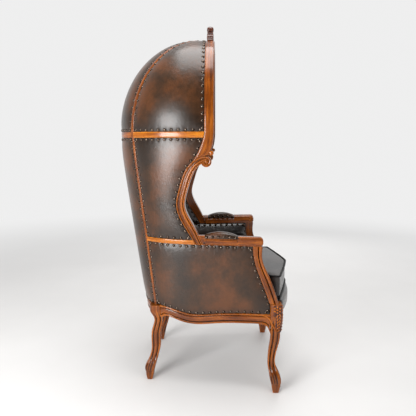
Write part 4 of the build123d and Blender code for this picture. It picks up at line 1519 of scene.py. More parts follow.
@dataclass
class ShowWood:
    """Polished mouldings that frame the leather."""

    finishes: Finishes
    wall: float = 38.0
    joint: float = 0.3
    stile: float = 6.3

    def one(self, piece: Mesh, name: str) -> None:
        """Dress a moulding that stands for a CAD node."""
        dress(piece, self.finishes.mahogany, Slot.WOOD, [name])

    def pair(self, piece: Mesh, name: str, nodes: Sequence[str] | None = None) -> None:
        """Mirror a moulding and dress both, standing for the nodes of its name unless told."""
        wood = self.finishes.golden_wood if name.endswith("_band") else self.finishes.mahogany
        dress_both(piece, name, wood, Slot.WOOD, [name] if nodes is None else nodes)

    def hoop_and_posts(self) -> None:
        """Bent front hoop and its posts, nearly flat with a rounded front edge."""
        relief = [(0, 7.0), (0.5, 4.6), (1.4, 2.9), (2.6, 1.8), (4.4, 0.9), (7, 0.4), (12, 0.1)]
        relief += [(22, 0.0), (32, 0.2), (37.4, 0.7), (39.8, 1.7), (41, 3.4)]
        section = moulding(41, self.wall, relief)
        angle = np.linspace(0, math.pi, 181)
        edges = (np.c_[angle, np.full(181, y)] for y in (VIEW.hoop_front, VIEW.hoop_rear))
        self.one(ribbon("front_hoop", *edges, section, SHELL.arch_point), "front_hoop")
        edges = VIEW.post_front(), VIEW.post_rear()
        self.pair(ribbon("front_post", *edges, section, SHELL.side_point), "front_post")

    def wings(self) -> None:
        """C-curved wing rails with their reeds, run down through the arms."""
        relief = [(0, 4.6)] + arc_relief(0.4, 5.6, 1.9, -0.6, 6)
        relief += [(6.6, 3.6)] + arc_relief(7.2, 15.8, 2.6, 4.0, 6) + [(16.6, 2.8)]
        relief += arc_relief(17.2, 28.6, 1.8, -1.4, 9) + [(29.6, 4.4)]
        relief += arc_relief(30.4, 37.4, 2.6, 0.2, 6) + [(38, 6)]
        section = moulding(38, 42.0, relief)
        edges = VIEW.wing_rear(), VIEW.wing_front()
        piece = ribbon("wing_rail", *edges, section, SHELL.side_point)
        trim(piece, (0, 0, VIEW.arm_bottom + 0.2), (0, 0, -1))
        self.pair(piece, "wing_rail")

    def volutes(self) -> None:
        """Scrolls at the heads of the wing rails, wound from the rails' outer beads."""
        centre = np.array(VIEW.volute)
        disc = self.boss("volute_ground", centre, VIEW.volute_radius - 0.4, 4.6, 40.0, 0.0)
        tail = VIEW.wing_rear(300)[:34][::-1]
        inner_tail = offset_path(tail, -np.linspace(5.4, 9.6, len(tail)))
        turn = np.linspace(0.01, 1.72, 150)
        angle = QUARTER + FULL_TURN * turn
        ray = np.c_[np.cos(angle), np.sin(angle)]
        radius, next_radius = (VIEW.volute_radius * np.exp(-0.66 * t) for t in (turn, turn + 1))
        outer = centre + ray * radius[:, None]
        inner = centre + ray * (next_radius + 1.5 * np.exp(-0.5 * turn))[:, None]
        section = [(0, 7), (0.03, 2.6), (0.16, 0.2), (0.34, -0.9), (0.52, -0.3), (0.70, 0.3)]
        section += [(0.84, 0.2), (0.95, 2.2), (1, 7)]
        edges = np.vstack([tail, outer]), np.vstack([inner_tail, inner])
        spiral = ribbon("wing_volute", *edges, section, SHELL.side_point)
        eye = self.boss("volute_eye", centre, 6.4, 2.2, 8.0, 3.6)
        for name, piece in (("wing_volute", spiral), ("volute_ground", disc), ("volute_eye", eye)):
            self.pair(piece, name, [])
        curl = self.boss("post_scroll", np.array([-37.5, 1055.0]), 9.5, 3.0, 30.0, 3.4)
        dress_both(curl, "post_scroll", self.finishes.carved, Slot.WOOD)

    def boss(
        self, name: str, centre: Grid, radius: float, level: float, back: float, dome: float
    ) -> Mesh:
        """Round boss that stands in the side wall.

        Args:
            name: Name of the piece.
            centre: Its centre in side view.
            radius: Its radius.
            level: Depth of its rim.
            back: Depth of its back.
            dome: Height of its middle over its rim.

        Returns:
            The piece.
        """
        share = np.r_[np.sin(np.linspace(0.04, QUARTER, 9)), 1.0][:, None]
        angle = np.linspace(0, FULL_TURN, 48, endpoint=False)[None, :]
        depth = level - dome * np.sqrt(np.clip(1 - share**2, 0, 1)) + np.zeros_like(angle)
        depth[-1] = back
        y, z = (c + radius * share * f(angle) for c, f in zip(centre, (np.cos, np.sin)))
        uv = (share.ravel() * radius, angle.ravel() * radius)
        return loft(name, SHELL.side_point(y, z, depth), 50.0, uv)

    def level_edges(self, heights: Spot, count: int, ends: Callable) -> list[Path]:
        """Level edges round the body.

        Args:
            heights: Height of each.
            count: Number of samples.
            ends: Gives the first and the last place round the plan at a height.

        Returns:
            Samples of each edge.
        """
        return [
            np.c_[np.linspace(*map(float, ends(z)), count), np.full(count, z)] for z in heights
        ]

    def bands(self) -> None:
        """Flat bands at the spring of the hood and level with the arms."""

        def from_front(edge: Path) -> Callable:
            return lambda z: (
                SHELL.turn_at(1, read_off(edge, 1, 0, z) + self.joint, z, 0.0),
                SHELL.turn_at_stile(-self.stile, z, 0.0),
            )

        def round_back(z: float) -> tuple[Grid, Grid]:
            first = SHELL.turn_at_stile(self.stile, z, 0.0)
            return first, 2 - first

        hood, arm = (VIEW.band_bottom, VIEW.spring), (VIEW.arm_bottom, VIEW.arm_band_top)
        section = flat_section(26, self.wall, 0.5)
        edges = self.level_edges(hood, 60, from_front(VIEW.post_rear()))
        self.pair(ribbon("side_band", *edges, section, SHELL.body_point), "side_band")
        edges = self.level_edges(hood, 80, round_back)
        self.one(ribbon("back_band", *edges, section, SHELL.body_point), "back_band")
        edges = self.level_edges(arm, 50, from_front(VIEW.wing_rear()))
        section = flat_section(20, self.wall, 0.5)
        self.pair(ribbon("arm_band", *edges, section, SHELL.body_point), "arm_band")

    def ribs(self) -> None:
        """Narrow ribs of the hood and the stiles below them."""
        angle = np.linspace(0.3 / 900, QUARTER * 0.999, 110)
        height = np.linspace(VIEW.frame_top + self.joint, VIEW.spring, 120)
        for name, low, high, run, crown, place in (
            ("hood_rib", -6.6, 9.8, angle, 0.9, SHELL.rib_point),
            ("back_stile", -6.6, 6.6, height, 0.7, SHELL.stile_point),
        ):
            edges = (np.c_[np.full(len(run), offset), run] for offset in (low, high))
            section = flat_section(high - low, self.wall, crown)
            self.pair(ribbon(name, *edges, section, place), name)

    def arms(self) -> None:
        """Arm rails with a rounded, carved nose, butted against the wing rails."""
        front, bottom, top = VIEW.arm_front, VIEW.arm_bottom, VIEW.arm_top
        round_off = 15
        y = np.unique(np.r_[
            front + round_off * (1 - np.cos(np.linspace(0, QUARTER, 14))),
            np.linspace(front + round_off, VIEW.arm_rear, 120),
            [VIEW.seat_front - 0.2, VIEW.seat_front, VIEW.seat_rear, VIEW.seat_rear + 0.2],
        ])
        into = np.clip((y - front) / round_off, 0, 1)
        nose = round_off * (1 - np.sqrt(np.clip(1 - (1 - into) ** 2, 0, 1)))
        in_seat = (y >= VIEW.seat_front) & (y <= VIEW.seat_rear)
        edges = np.c_[y, bottom + nose], np.c_[y, np.where(in_seat, VIEW.seat_level, top) - nose]
        relief = [(0, 4.0), (0.6, 1.6), (2, 0.6), (5, 0.3), (6.4, 1.6)]
        relief += arc_relief(7.4, 33, 0.9, 0.0, 9)
        relief += [(34.4, 1.3), (36, 0.4), (39, 0.7), (40.4, 1.9), (41, 4.2)]
        section = [(x / 41, depth) for x, depth in relief]
        section += [(1.0, 16.0), (0.985, 28.0), (0.94, 38.0)]
        section += [(0.87, 43.5), (0.77, 46.0), (0.0, 46.0)]
        piece = ribbon("arm_rail", *edges, section, SHELL.side_point)
        wing = VIEW.wing_front(400)[200:]
        upper, lower = (
            np.array([read_off(wing, 1, 0, z) - self.joint, z]) for z in (top, bottom)
        )
        along = unit(upper - lower)
        trim(piece, (0, *upper), (0, along[1], -along[0]))
        self.pair(piece, "arm_rail")
        spot = SHELL.side_point(front + 17.0, (bottom + top) / 2, 45.6)
        parts = [lobe(spot, (3.0, 4.6, 4.6))]
        for turn in np.linspace(0, FULL_TURN, 7, endpoint=False):
            offset = np.array([0, 9.6 * math.cos(turn), 9.6 * math.sin(turn)])
            parts.append(lobe(spot + offset, (2.6, 4.0, 4.0), segments=12))
        rosettes = carving(parts, "arm_rosettes", 0.9, 1)
        dress_both(rosettes, "arm_rosettes", self.finishes.carved, Slot.WOOD)

    def supports(self) -> None:
        """Curved arm supports: a round bead along the front, a deep hollow and a flat."""
        relief = [(0, 5.0), (0.8, 3.0)] + arc_relief(1.8, 15.2, 2.4, -1.8, 9)
        relief += [(16.4, 3.2), (17.8, 5.4), (19.2, 3.4)]
        relief += arc_relief(20.4, 39.6, 1.0, -0.2, 7) + [(40.4, 1.6), (41.2, 4.5)]
        edges = VIEW.support_front(), VIEW.support_rear()
        section = moulding(41.2, 40.0, relief)
        self.pair(ribbon("arm_support", *edges, section, SHELL.side_point), "arm_support")

    def rails(self) -> None:
        """Serpentine side rails and the rear rail, beaded along their edges."""
        relief = [(0, 4.0)] + arc_relief(0.5, 8.4, 1.8, -0.8, 6)
        relief += [(9.4, 3.4), (10.6, 3.6), (12, 2.2)] + arc_relief(13, 33, 1.5, 0.2, 7)
        relief += [(34, 2.2), (35.4, 3.4)]
        relief += arc_relief(36.4, 44.4, 1.8, -0.4, 6) + [(45, 4.0)]
        section = moulding(45, 42.0, relief)
        y = np.unique(np.round(np.r_[
            -294.6 + 38 * (1 - np.cos(np.linspace(0, QUARTER, 26))), np.linspace(-250, 165, 150),
            188.0 - 15 * (1 - np.sin(np.linspace(0, QUARTER, 14))), [194.0, 200.0],
        ], 4))
        edges = np.c_[y, VIEW.rail_bottom(y)], np.c_[y, VIEW.rail_top(y)]
        self.pair(ribbon("side_rail", *edges, section, SHELL.side_point), "side_rail")
        self.reeds()
        self.front_reeds()

        def between_legs(z: float) -> tuple[Grid, Grid]:
            first = SHELL.turn_at(0, -185.6, z, 0.0, 0.35)
            return first, 2 - first

        edges = self.level_edges((VIEW.rear_rail_bottom, VIEW.frame_top), 70, between_legs)
        self.one(ribbon("rear_rail", *edges, section, SHELL.body_point), "rear_rail")

    def reed(self, name: str, knots: Sequence[Spot], ends: tuple[float, float]) -> None:
        """Lay one reed over the rail and the legs and dress both sides.

        Args:
            name: Name of the pieces.
            knots: Points in side view that it passes through.
            ends: Lengths over which its two ends taper away.
        """
        line = smooth_path(knots, 260)
        y, z = line.T
        x = np.minimum(FRONT_LEG.outer_x(y, z), REAR_LEG.outer_x(y, z))
        on_rail = z > VIEW.rail_bottom(y) - 6
        wall = SHELL.side_point(y, z, 0.0)[:, 0]
        x = np.where(on_rail | (x == 0), np.minimum(x, wall), x)
        kernel = np.hanning(15) / np.hanning(15).sum()
        x = np.convolve(np.r_[np.full(7, x[0]), x, np.full(7, x[-1])], kernel, mode="valid")
        length = lengths(line)
        fade = np.minimum(length / ends[0], (length[-1] - length) / ends[1])
        radius = 3.6 * np.sqrt(np.clip(fade, 0.02, 1))
        piece = tube(name, np.c_[x + 1.3, y, z], radius, (1, 0, 0), 12, run=length)
        self.pair(piece, name, [])

    def reeds(self) -> None:
        """Reeds that run along the rail and turn down the legs."""

        def on(line: LegLine, heights: Sequence[float], side: float) -> list[Spot]:
            places = ((z, line.at(np.array(z))) for z in heights)
            return [(float(middle + side * (half - 3.6)), z) for z, (_, middle, half) in places]

        along = [(y, float(VIEW.rail_bottom(y)) + 3.4) for y in range(-245, 160, 45)]
        lower = on(FRONT_LEG, (118, 150, 190, 230, 262), 1)
        lower += [(-292.5, 290.0), (-282.5, 306.0), (-264.0, 312.6)] + along
        lower += [(174.0, 320.0), (187.5, 311.0)] + on(REAR_LEG, (282, 250, 210, 170, 135), -1)
        self.reed("apron_reed", lower, (40.0, 40.0))
        upper = [(y, float(VIEW.rail_top(y)) - 4.2) for y in range(-245, 190, 45)][::-1]
        upper += [(-272.0, 350.5), (-291.0, 339.0), (-301.0, 320.0)]
        upper += [(float(FRONT_LEG.at(z)[1]) + 1.5, z) for z in (285.0, 250.0, 210.0, 170.0, 135.0)]
        self.reed("rail_reed", upper, (30.0, 50.0))

    def front_reeds(self) -> None:
        """Three reeds along the face of the front rail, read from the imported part."""
        places = node_points("front_rail")
        low, high = places[:, 2].min(), places[:, 2].max()
        x = np.linspace(-1, 1, 61) * (np.abs(places[:, 0]).max() - 9.0)
        face = np.array([places[np.abs(places[:, 0] - step) < 14.0, 1].min() for step in x])
        bow = np.polynomial.Polynomial.fit(x, face, 4)(x)
        bow += np.max(face - bow)
        reeds = ((low + 5.0, 4.2), (low + 13.0, 2.2), (high - 5.0, 3.4))
        for number, (height, radius) in enumerate(reeds, 1):
            path = np.c_[x, bow - 0.6, np.full(61, height)]
            piece = tube(f"front_reed_{number}", path, radius, (0, 0, 1), 12, run=x)
            dress(piece, self.finishes.mahogany, Slot.WOOD)

    def build(self) -> None:
        """Model and dress every moulding."""
        self.hoop_and_posts()
        self.wings()
        self.volutes()
        self.bands()
        self.ribs()
        self.arms()
        self.supports()
        self.rails()


@dataclass
class Leg:
    """A leg: its block in the seat frame, its sweep and its scrolled toe."""

    finishes: Finishes
    name: str
    line: LegLine
    knee: float
    toe: float
    carved: bool = False
    around: int = 112

    def build(self) -> None:
        """Model the leg and dress both sides."""
        path = self.line.path()
        height, x, y, width = path.T[..., None]
        angle = np.linspace(0, FULL_TURN, self.around, endpoint=False)
        c, s, corner = np.cos(angle), np.sin(angle), self.line.corner
        reach = width / 2 * (np.abs(c) ** corner + np.abs(s) ** corner) ** (-1 / corner)
        offsets = self.carve(np.stack([reach * c, reach * s], axis=-1), width / 2, height)
        rings = np.stack([x + offsets[..., 0], y + offsets[..., 1], height + 0 * reach], axis=-1)
        uv = (lengths(path[:, :3]), np.linspace(0, 160, self.around))
        piece = loft(self.name, rings, 60.0, uv)
        dress_both(piece, self.name, self.finishes.mahogany, Slot.WOOD, [self.name])
        if self.carved:
            self.knee_leaf()

    def carve(self, offsets: Grid, half: Grid, height: Grid) -> Grid:
        """Run a bead along each corner of the leg and flute its toe.

        Args:
            offsets: Outline of each ring about its centre.
            half: Half the width of each ring.
            height: Height of each ring.

        Returns:
            The carved outlines.
        """
        share = offsets / half[..., None]
        wide = np.abs(share[..., 0]) > np.abs(share[..., 1])
        across = np.where(wide, share[..., 1], share[..., 0])
        over = height - self.toe
        groove = np.exp(-(((np.abs(across) - 0.46) / 0.17) ** 2)) * 5.4 + 0.4
        cut = groove * np.clip((self.knee - height) / 30, 0, 1) * np.clip((over - 28) / 30, 0, 1)
        on_toe = np.clip((over + 14) / 5, 0, 1) * np.clip((38 - over) / 20, 0, 1)
        fan = 1 - np.abs(np.sin(math.pi * (2.0 * across + 0.5))) ** 0.8
        cut = cut + on_toe * fan * 3.4 * np.clip((0.97 - np.abs(across)) / 0.1, 0, 1)
        cut = cut + np.exp(-(((over + 17) / 2.6) ** 2)) * 2.4
        inward = np.where(wide[..., None], np.sign(share) * [1, 0], np.sign(share) * [0, 1])
        return offsets - inward * cut[..., None]

    def knee_leaf(self) -> None:
        """Rosette and falling leaf carved over the knee's outer front corner, on a dark ground that
        paints the shade between the leaves.
        """
        parts, ground = [], []

        def add(
            into: list, along: float, height: float, size: Spot, lean: float = 0.0,
            proud: float = 1.6,
        ) -> None:
            x, y, half = (float(value) for value in self.line.at(np.array(height)))
            into.append(lobe((x - half - proud, y - half + along, height), size, lean))
            front = (x - half + along, y - half - proud, height)
            into.append(lobe(front, (size[1], size[0], size[2])))

        # A thin dark ground under the leaves paints the shade between them.
        for k in range(10):
            for along in (8.0, 20.0, 31.0)[: 3 - (k > 3) - (k > 7)]:
                add(ground, along, 394.0 - 12.0 * k, (1.3, 8.0, 8.6), proud=0.0)
        add(parts, 20.0, 383.0, (5.6, 5.0, 5.0))
        for k in range(6):
            turn = FULL_TURN * (k + 0.5) / 6
            spot = (20.0 + 12.6 * math.cos(turn), 383.0 + 12.6 * math.sin(turn))
            add(parts, *spot, (4.6, 4.6, 4.6))
        for k in range(6):
            down, part = 358.0 - 13.5 * k, 1 - 0.08 * k
            size = (4.4, 3.6 * part, 8.6 * part)
            add(parts, 8.0, down, size, 22.0)
            add(parts, 20.5 - 1.6 * k, down - 4.0, size, -22.0)
        for pieces, name, wood in (
            (parts, "knee_leaf", self.finishes.carved),
            (ground, "knee_shade_ground", self.finishes.crest_wood),
        ):
            dress_both(carving(pieces, name, 0.8, 1), name, wood, Slot.WOOD)


@dataclass
class Crest:
    """Turned beads over a pair of leaves and scrolls on the top of the hoop."""

    finishes: Finishes
    front: float = -42.0
    back: float = -11.5

    def build(self) -> None:
        """Model the crest as one carved piece."""
        y, deep = (self.front + self.back) / 2, (self.back - self.front) / 2
        drums = [
            (0, 1616.4, 14.2, 14.0, 0.2, 10.0), (0, 1601.0, 11.6, 9.0, -1.2, 2.0),
            (0, 1590.8, 16.0, 10.4, 0.2, 8.0), (0, 1579.0, 19.0, 8.0, -0.6, 3.0),
        ]
        for x in range(-44, 45, 8):
            drums.append((x, 1569.5 - 13.0 * (x / 54) ** 2, 6.0, 5.5, -0.6, 1.6))
        for sign in (-1, 1):
            for k in range(6):
                angle = math.radians(-10 + 32 * k)
                x, z = sign * (24 + 8.2 * math.cos(angle)), 1577 + 8.2 * math.sin(angle)
                drums.append((x, z, 4.2, 4.2, -1.0, 2.0))
            drums += [
                (sign * 24, 1577, 6.0, 6.0, 0.6, 2.6), (sign * 42, 1566.5, 9.0, 7.4, -1.2, 3.0),
                (sign * 54, 1559.5, 6.4, 5.4, -2.4, 2.4),
            ]
        parts = [
            barrel((x, y, z), radius, tall, deep + more, soft)
            for x, z, radius, tall, more, soft in drums
        ]
        crest = carving(parts, "crest", 1.0, 2)
        dress(crest, self.finishes.crest_wood, Slot.WOOD, ["crest"])


# Seat


def node_points(node: str) -> Grid:
    """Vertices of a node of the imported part, in millimetres."""
    return np.array([v.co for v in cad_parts[node].data.vertices]) / METRES


def middle_level(node: str) -> float:
    """Height of the middle of a flat node, in millimetres."""
    low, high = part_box(node)
    return (low[2] + high[2]) / 2 / METRES


def half_widths(node: str, count: int = 24, reach: float = 26.0) -> Path:
    """Half width of a flat node along the seat.

    Args:
        node: The node.
        count: Number of places.
        reach: Distance over which its vertices are taken together.

    Returns:
        Y and half width as rows, from front to back.
    """
    places = node_points(node)
    table = []
    for y in np.linspace(places[:, 1].min(), places[:, 1].max(), count):
        ahead, behind = places[places[:, 1] <= y + 0.5], places[places[:, 1] >= y - 0.5]
        low = ahead[ahead[:, 1] >= ahead[:, 1].max() - reach]
        high = behind[behind[:, 1] <= behind[:, 1].min() + reach]
        table.append((y, min(np.abs(low[:, 0]).max(), np.abs(high[:, 0]).max())))
    return np.array(table)


@dataclass
class Seat:
    """Upholstered platform, its webbing and its dust cover."""

    finishes: Finishes
    strap_half: float = 26.0
    strap_thickness: float = 0.7
    strap_lift: float = 0.75
    tack_pitch: float = 34.0

    def deck(self) -> None:
        """Soften the platform's form."""
        piece = bpy.data.objects.new("seat_deck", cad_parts["seat_deck"].data.copy())
        piece.data.name = "seat_deck"
        bpy.context.scene.collection.objects.link(piece)
        settle_normals(remesh(piece, 6.0, 6), None)
        dress(piece, self.finishes.inside, Slot.INSIDE, ["seat_deck"], 0.8)

    def strap(self, start: Spot, end: Spot, crossings: Grid, under: int, level: float) -> tuple:
        """One strap that goes over and under those that cross it.

        Args:
            start: X and Y of its one end.
            end: X and Y of its other end.
            crossings: Places of the straps that cross it.
            under: 1 if it starts below, 0 if above.
            level: Height of the webbing.

        Returns:
            Its points and its faces.
        """
        way = np.subtract(end, start)
        middle = start + way * np.linspace(0, 1, 72)[:, None]
        run = middle[:, 0] if abs(way[0]) > abs(way[1]) else middle[:, 1]
        place = (run - crossings[0]) / (crossings[1] - crossings[0])
        wave = self.strap_lift * np.cos(math.pi * place) * (-1) ** under
        ahead = unit(way)
        side = np.array([-ahead[1], ahead[0]]) * self.strap_half
        thick = self.strap_thickness
        section = [(-1, thick), (-0.5, thick + 0.1), (0.5, thick + 0.1), (1, thick)]
        section += [(1, -thick), (-1, -thick)]
        rings = [np.c_[middle + side * share, level + wave + up] for share, up in section]
        return np.stack(rings, axis=1).reshape(-1, 3), ring_faces(72, 6)

    def webbing(self) -> None:
        """Weave jute straps over and under each other on the seat frame."""
        level, table = middle_level("seat_webbing"), half_widths("seat_webbing")
        front, rear = table[0, 0], table[-1, 0]
        across, along = np.linspace(front + 32, rear - 34, 8), np.linspace(-208, 208, 7)
        parts = []
        for number, y in enumerate(across):
            reach = float(np.interp(y, *table.T)) - 2
            parts.append(self.strap((-reach, y), (reach, y), along, number % 2, level))
        for number, x in enumerate(along):
            last = table[table[:, 1] > abs(x) + self.strap_half][-1, 0]
            ends = (x, front + 2), (x, last - 2)
            parts.append(self.strap(*ends, across, (number + 1) % 2, level))
        piece = settle_normals(link_mesh("seat_webbing", *gather(parts)), 40.0)
        dress(piece, self.finishes.jute, Slot.JUTE, ["seat_webbing"])

    def dust_cover(self) -> None:
        """Stretch the black cover under the seat, with the faint pulls of its tacks."""
        table = half_widths("dust_cover")
        y = np.linspace(table[0, 0] + 1, table[-1, 0] - 1, 70)[:, None]
        reach = np.interp(y, *table.T) - 1
        share = np.linspace(-1, 1, 80)[None, :]
        x = reach * share
        from_side = reach * (1 - np.abs(share))
        from_end = np.minimum(y - y[0], y[-1] - y)
        edge = np.minimum(from_side, from_end + 0 * x)
        pull = sum(
            np.cos(place / self.tack_pitch * FULL_TURN) * np.exp(-away / 30)
            for place, away in ((y, from_side), (x, from_end))
        )
        sag = -1.6 * np.clip(edge / 120, 0, 1) ** 0.7
        z = middle_level("dust_cover") + 0.2 + sag + 0.35 * pull
        points = np.stack([x, np.broadcast_to(y, x.shape), z], axis=-1)
        patch = Patch(points, np.broadcast_to(np.array([0.0, 0.0, -1.0]), points.shape))
        piece = patch.skin("dust_cover", np.zeros(x.shape), 0.8, np.zeros(x.shape))
        dress(piece, self.finishes.cambric, Slot.CAMBRIC, ["dust_cover"])

    def build(self) -> None:
        """Model the platform, webbing and cover."""
        self.deck()
        self.webbing()
        self.dust_cover()


@dataclass
class Cushion:
    """Loose seat cushion, swelled by simulation between its piped seams."""

    finishes: Finishes
    bottom: float = 412.8
    top_seam: float = 519.5
    frames: int = 20
    cap: float = 20.0
    cord: float = 4.2

    def outline(self, draw: float, count: int = 260) -> Path:
        """Plan of the cushion, drawn in from its full outline.

        Args:
            draw: Distance drawn in.
            count: Number of points.

        Returns:
            Points round the plan.
        """
        half = [(-272 + draw, -299), (-243 + draw, -292), (-203 + draw, 25)]
        width, rear_width = 281 - draw, 149 - draw
        front = [
            (x, -401 + draw + 61 * (abs(x) / 281) ** 1.2) for x in np.linspace(width, -width, 41)
        ]
        rear = [
            (x, 221 - draw - 57 * (x / 149) ** 2) for x in np.linspace(-rear_width, rear_width, 20)
        ]
        left = [(-x, y) for x, y in reversed(half)]
        dense = even_path(np.array(front + half + rear + left + front[:1]), count * 4)
        ring = np.vstack([dense[-14:-1], dense, dense[1:14]])
        kernel = np.ones(9) / 9
        smooth = [np.convolve(column, kernel, mode="same")[13:-13] for column in ring.T]
        return even_path(np.stack(smooth, axis=1), count + 1)[:-1]

    def closed_form(self) -> Mesh:
        """Closed boxy form that the simulation swells."""
        low, high = self.bottom, self.top_seam
        layers = [
            (low + 2, 40), (low + 2, 5), (low + 6, 2.5),
            (high - 6, 2.5), (high - 1, 4.5), (high + 3, 40),
        ]
        rings = np.stack([np.c_[self.outline(draw), np.full(260, z)] for z, draw in layers])
        return remesh(loft("seat_cushion", rings, None), 6)

    def hold_seams(self, piece: Mesh, places: Grid) -> None:
        """Put the vertices near both seams in the group that the cloth is pinned by."""
        held = piece.vertex_groups.new(name="seams")
        seam = self.outline(3.0)
        for height in (self.bottom + 6, self.top_seam - 4):
            for index in np.flatnonzero(np.abs(places[:, 2] - height) < 6):
                if np.min(np.hypot(*(seam - places[index, :2]).T)) < 6.5:
                    held.add([int(index)], 1.0, "REPLACE")

    def swell(self, piece: Mesh) -> None:
        """Blow the cushion up with its seams held, no point moving past the cap."""
        places = np.array([v.co for v in piece.data.vertices]) / METRES
        self.hold_seams(piece, places)
        select_only(piece)
        cloth = piece.modifiers.new("Cloth", "CLOTH")
        cloth.settings.use_pressure = True
        cloth.settings.uniform_pressure_force = 4.0
        cloth.settings.effector_weights.gravity = 0
        cloth.settings.vertex_group_mass = "seams"
        cloth.settings.quality = 5
        cloth.point_cache.frame_start, cloth.point_cache.frame_end = 1, self.frames
        for number in range(1, self.frames + 1):
            bpy.context.scene.frame_set(number)
        blown = piece.evaluated_get(bpy.context.evaluated_depsgraph_get())
        move = np.array([v.co for v in blown.data.vertices]) / METRES - places
        piece.modifiers.remove(cloth)
        bpy.context.scene.frame_set(1)
        size = np.linalg.norm(move, axis=1, keepdims=True)
        placed = places + move * np.minimum(1, self.cap / np.maximum(size, 1e-6))
        placed[:, 2] = np.maximum(placed[:, 2], self.bottom)
        piece.data.vertices.foreach_set("co", (placed * METRES).ravel())
        piece.data.update()

    def build(self) -> None:
        """Model and dress the cushion and its piping."""
        piece = self.closed_form()
        self.swell(piece)
        apply_modifier(piece, "SMOOTH", factor=0.5, iterations=3)
        apply_modifier(piece, "SUBSURF", levels=1)
        settle_normals(piece, None)
        on_cushion = {"slot": Slot.CUSHION, "body": Body.CUSHION}
        dress(piece, self.finishes.cushion, nodes=["seat_cushion"], fill=0.7, **on_cushion)
        for name, height in (("top", self.top_seam - 3), ("bottom", self.bottom + 6)):
            path = np.c_[self.outline(0.6, 360), np.full(360, height)]
            cord = tube(f"cushion_piping_{name}", path, self.cord, (0, 0, 1), closed=True)
            dress(cord, self.finishes.piping, **on_cushion)


@dataclass
class ArmPads:
    """Leather pads let into the tops of the arms."""

    finishes: Finishes
    crown: float = 16.5

    def point(self, share: Grid, turn: Grid) -> Grid:
        """Point of the pad's dome.

        Args:
            share: Shares of its length from front to back.
            turn: Angle over it from the outer edge to the inner.

        Returns:
            Points, along the last axis.
        """
        y = VIEW.seat_front + 1.0 + (VIEW.seat_rear - VIEW.seat_front - 2.0) * share
        swell = np.clip(np.sin(math.pi * share), 0, 1)
        crest = VIEW.arm_top + 0.6 + self.crown * swell**0.8
        taper = 0.80 + 0.20 * swell**0.5
        depth = 22.5 - 24.0 * np.sign(np.cos(turn)) * np.abs(np.cos(turn)) ** 0.85 * taper
        base = VIEW.seat_level + 0.6
        return SHELL.side_point(y, base + (crest - base) * np.abs(np.sin(turn)) ** 0.62, depth)

    def build(self) -> None:
        """Model one pad with its welts and nails, and mirror them."""
        share = 0.5 - 0.5 * np.cos(np.linspace(0, math.pi, 80))[:, None]
        dome = self.point(share, np.linspace(0, math.pi, 44)[None, :])
        leather = (self.finishes.outside, Slot.INSIDE)
        dress_both(loft("manchette", dome, 60.0), "manchette", *leather, ["manchette"], 0.8)
        for number, angle in enumerate((0.62, math.pi - 0.62)):
            path = self.point(np.linspace(0.03, 0.97, 60), np.full(60, angle))
            welt = tube(f"manchette_welt_{number}", path, 1.5, (1, 0, 0.3), 8)
            dress_both(welt, welt.name, *leather)
        row = NailRow(radius=6.6, height=4.2)
        for angle, out in ((0.17, -1.0), (math.pi - 0.17, 1.0)):
            spots = self.point(np.linspace(0.06, 0.94, 6), np.full(6, angle))
            way = np.array([out, 0.0, 0.25])
            row.add(spots + way * 0.6, np.tile(way, (6, 1)))
        nails = row.build("manchette_nails")
        dress_both(nails, nails.name, self.finishes.nails, Slot.INSIDE)


# Studio


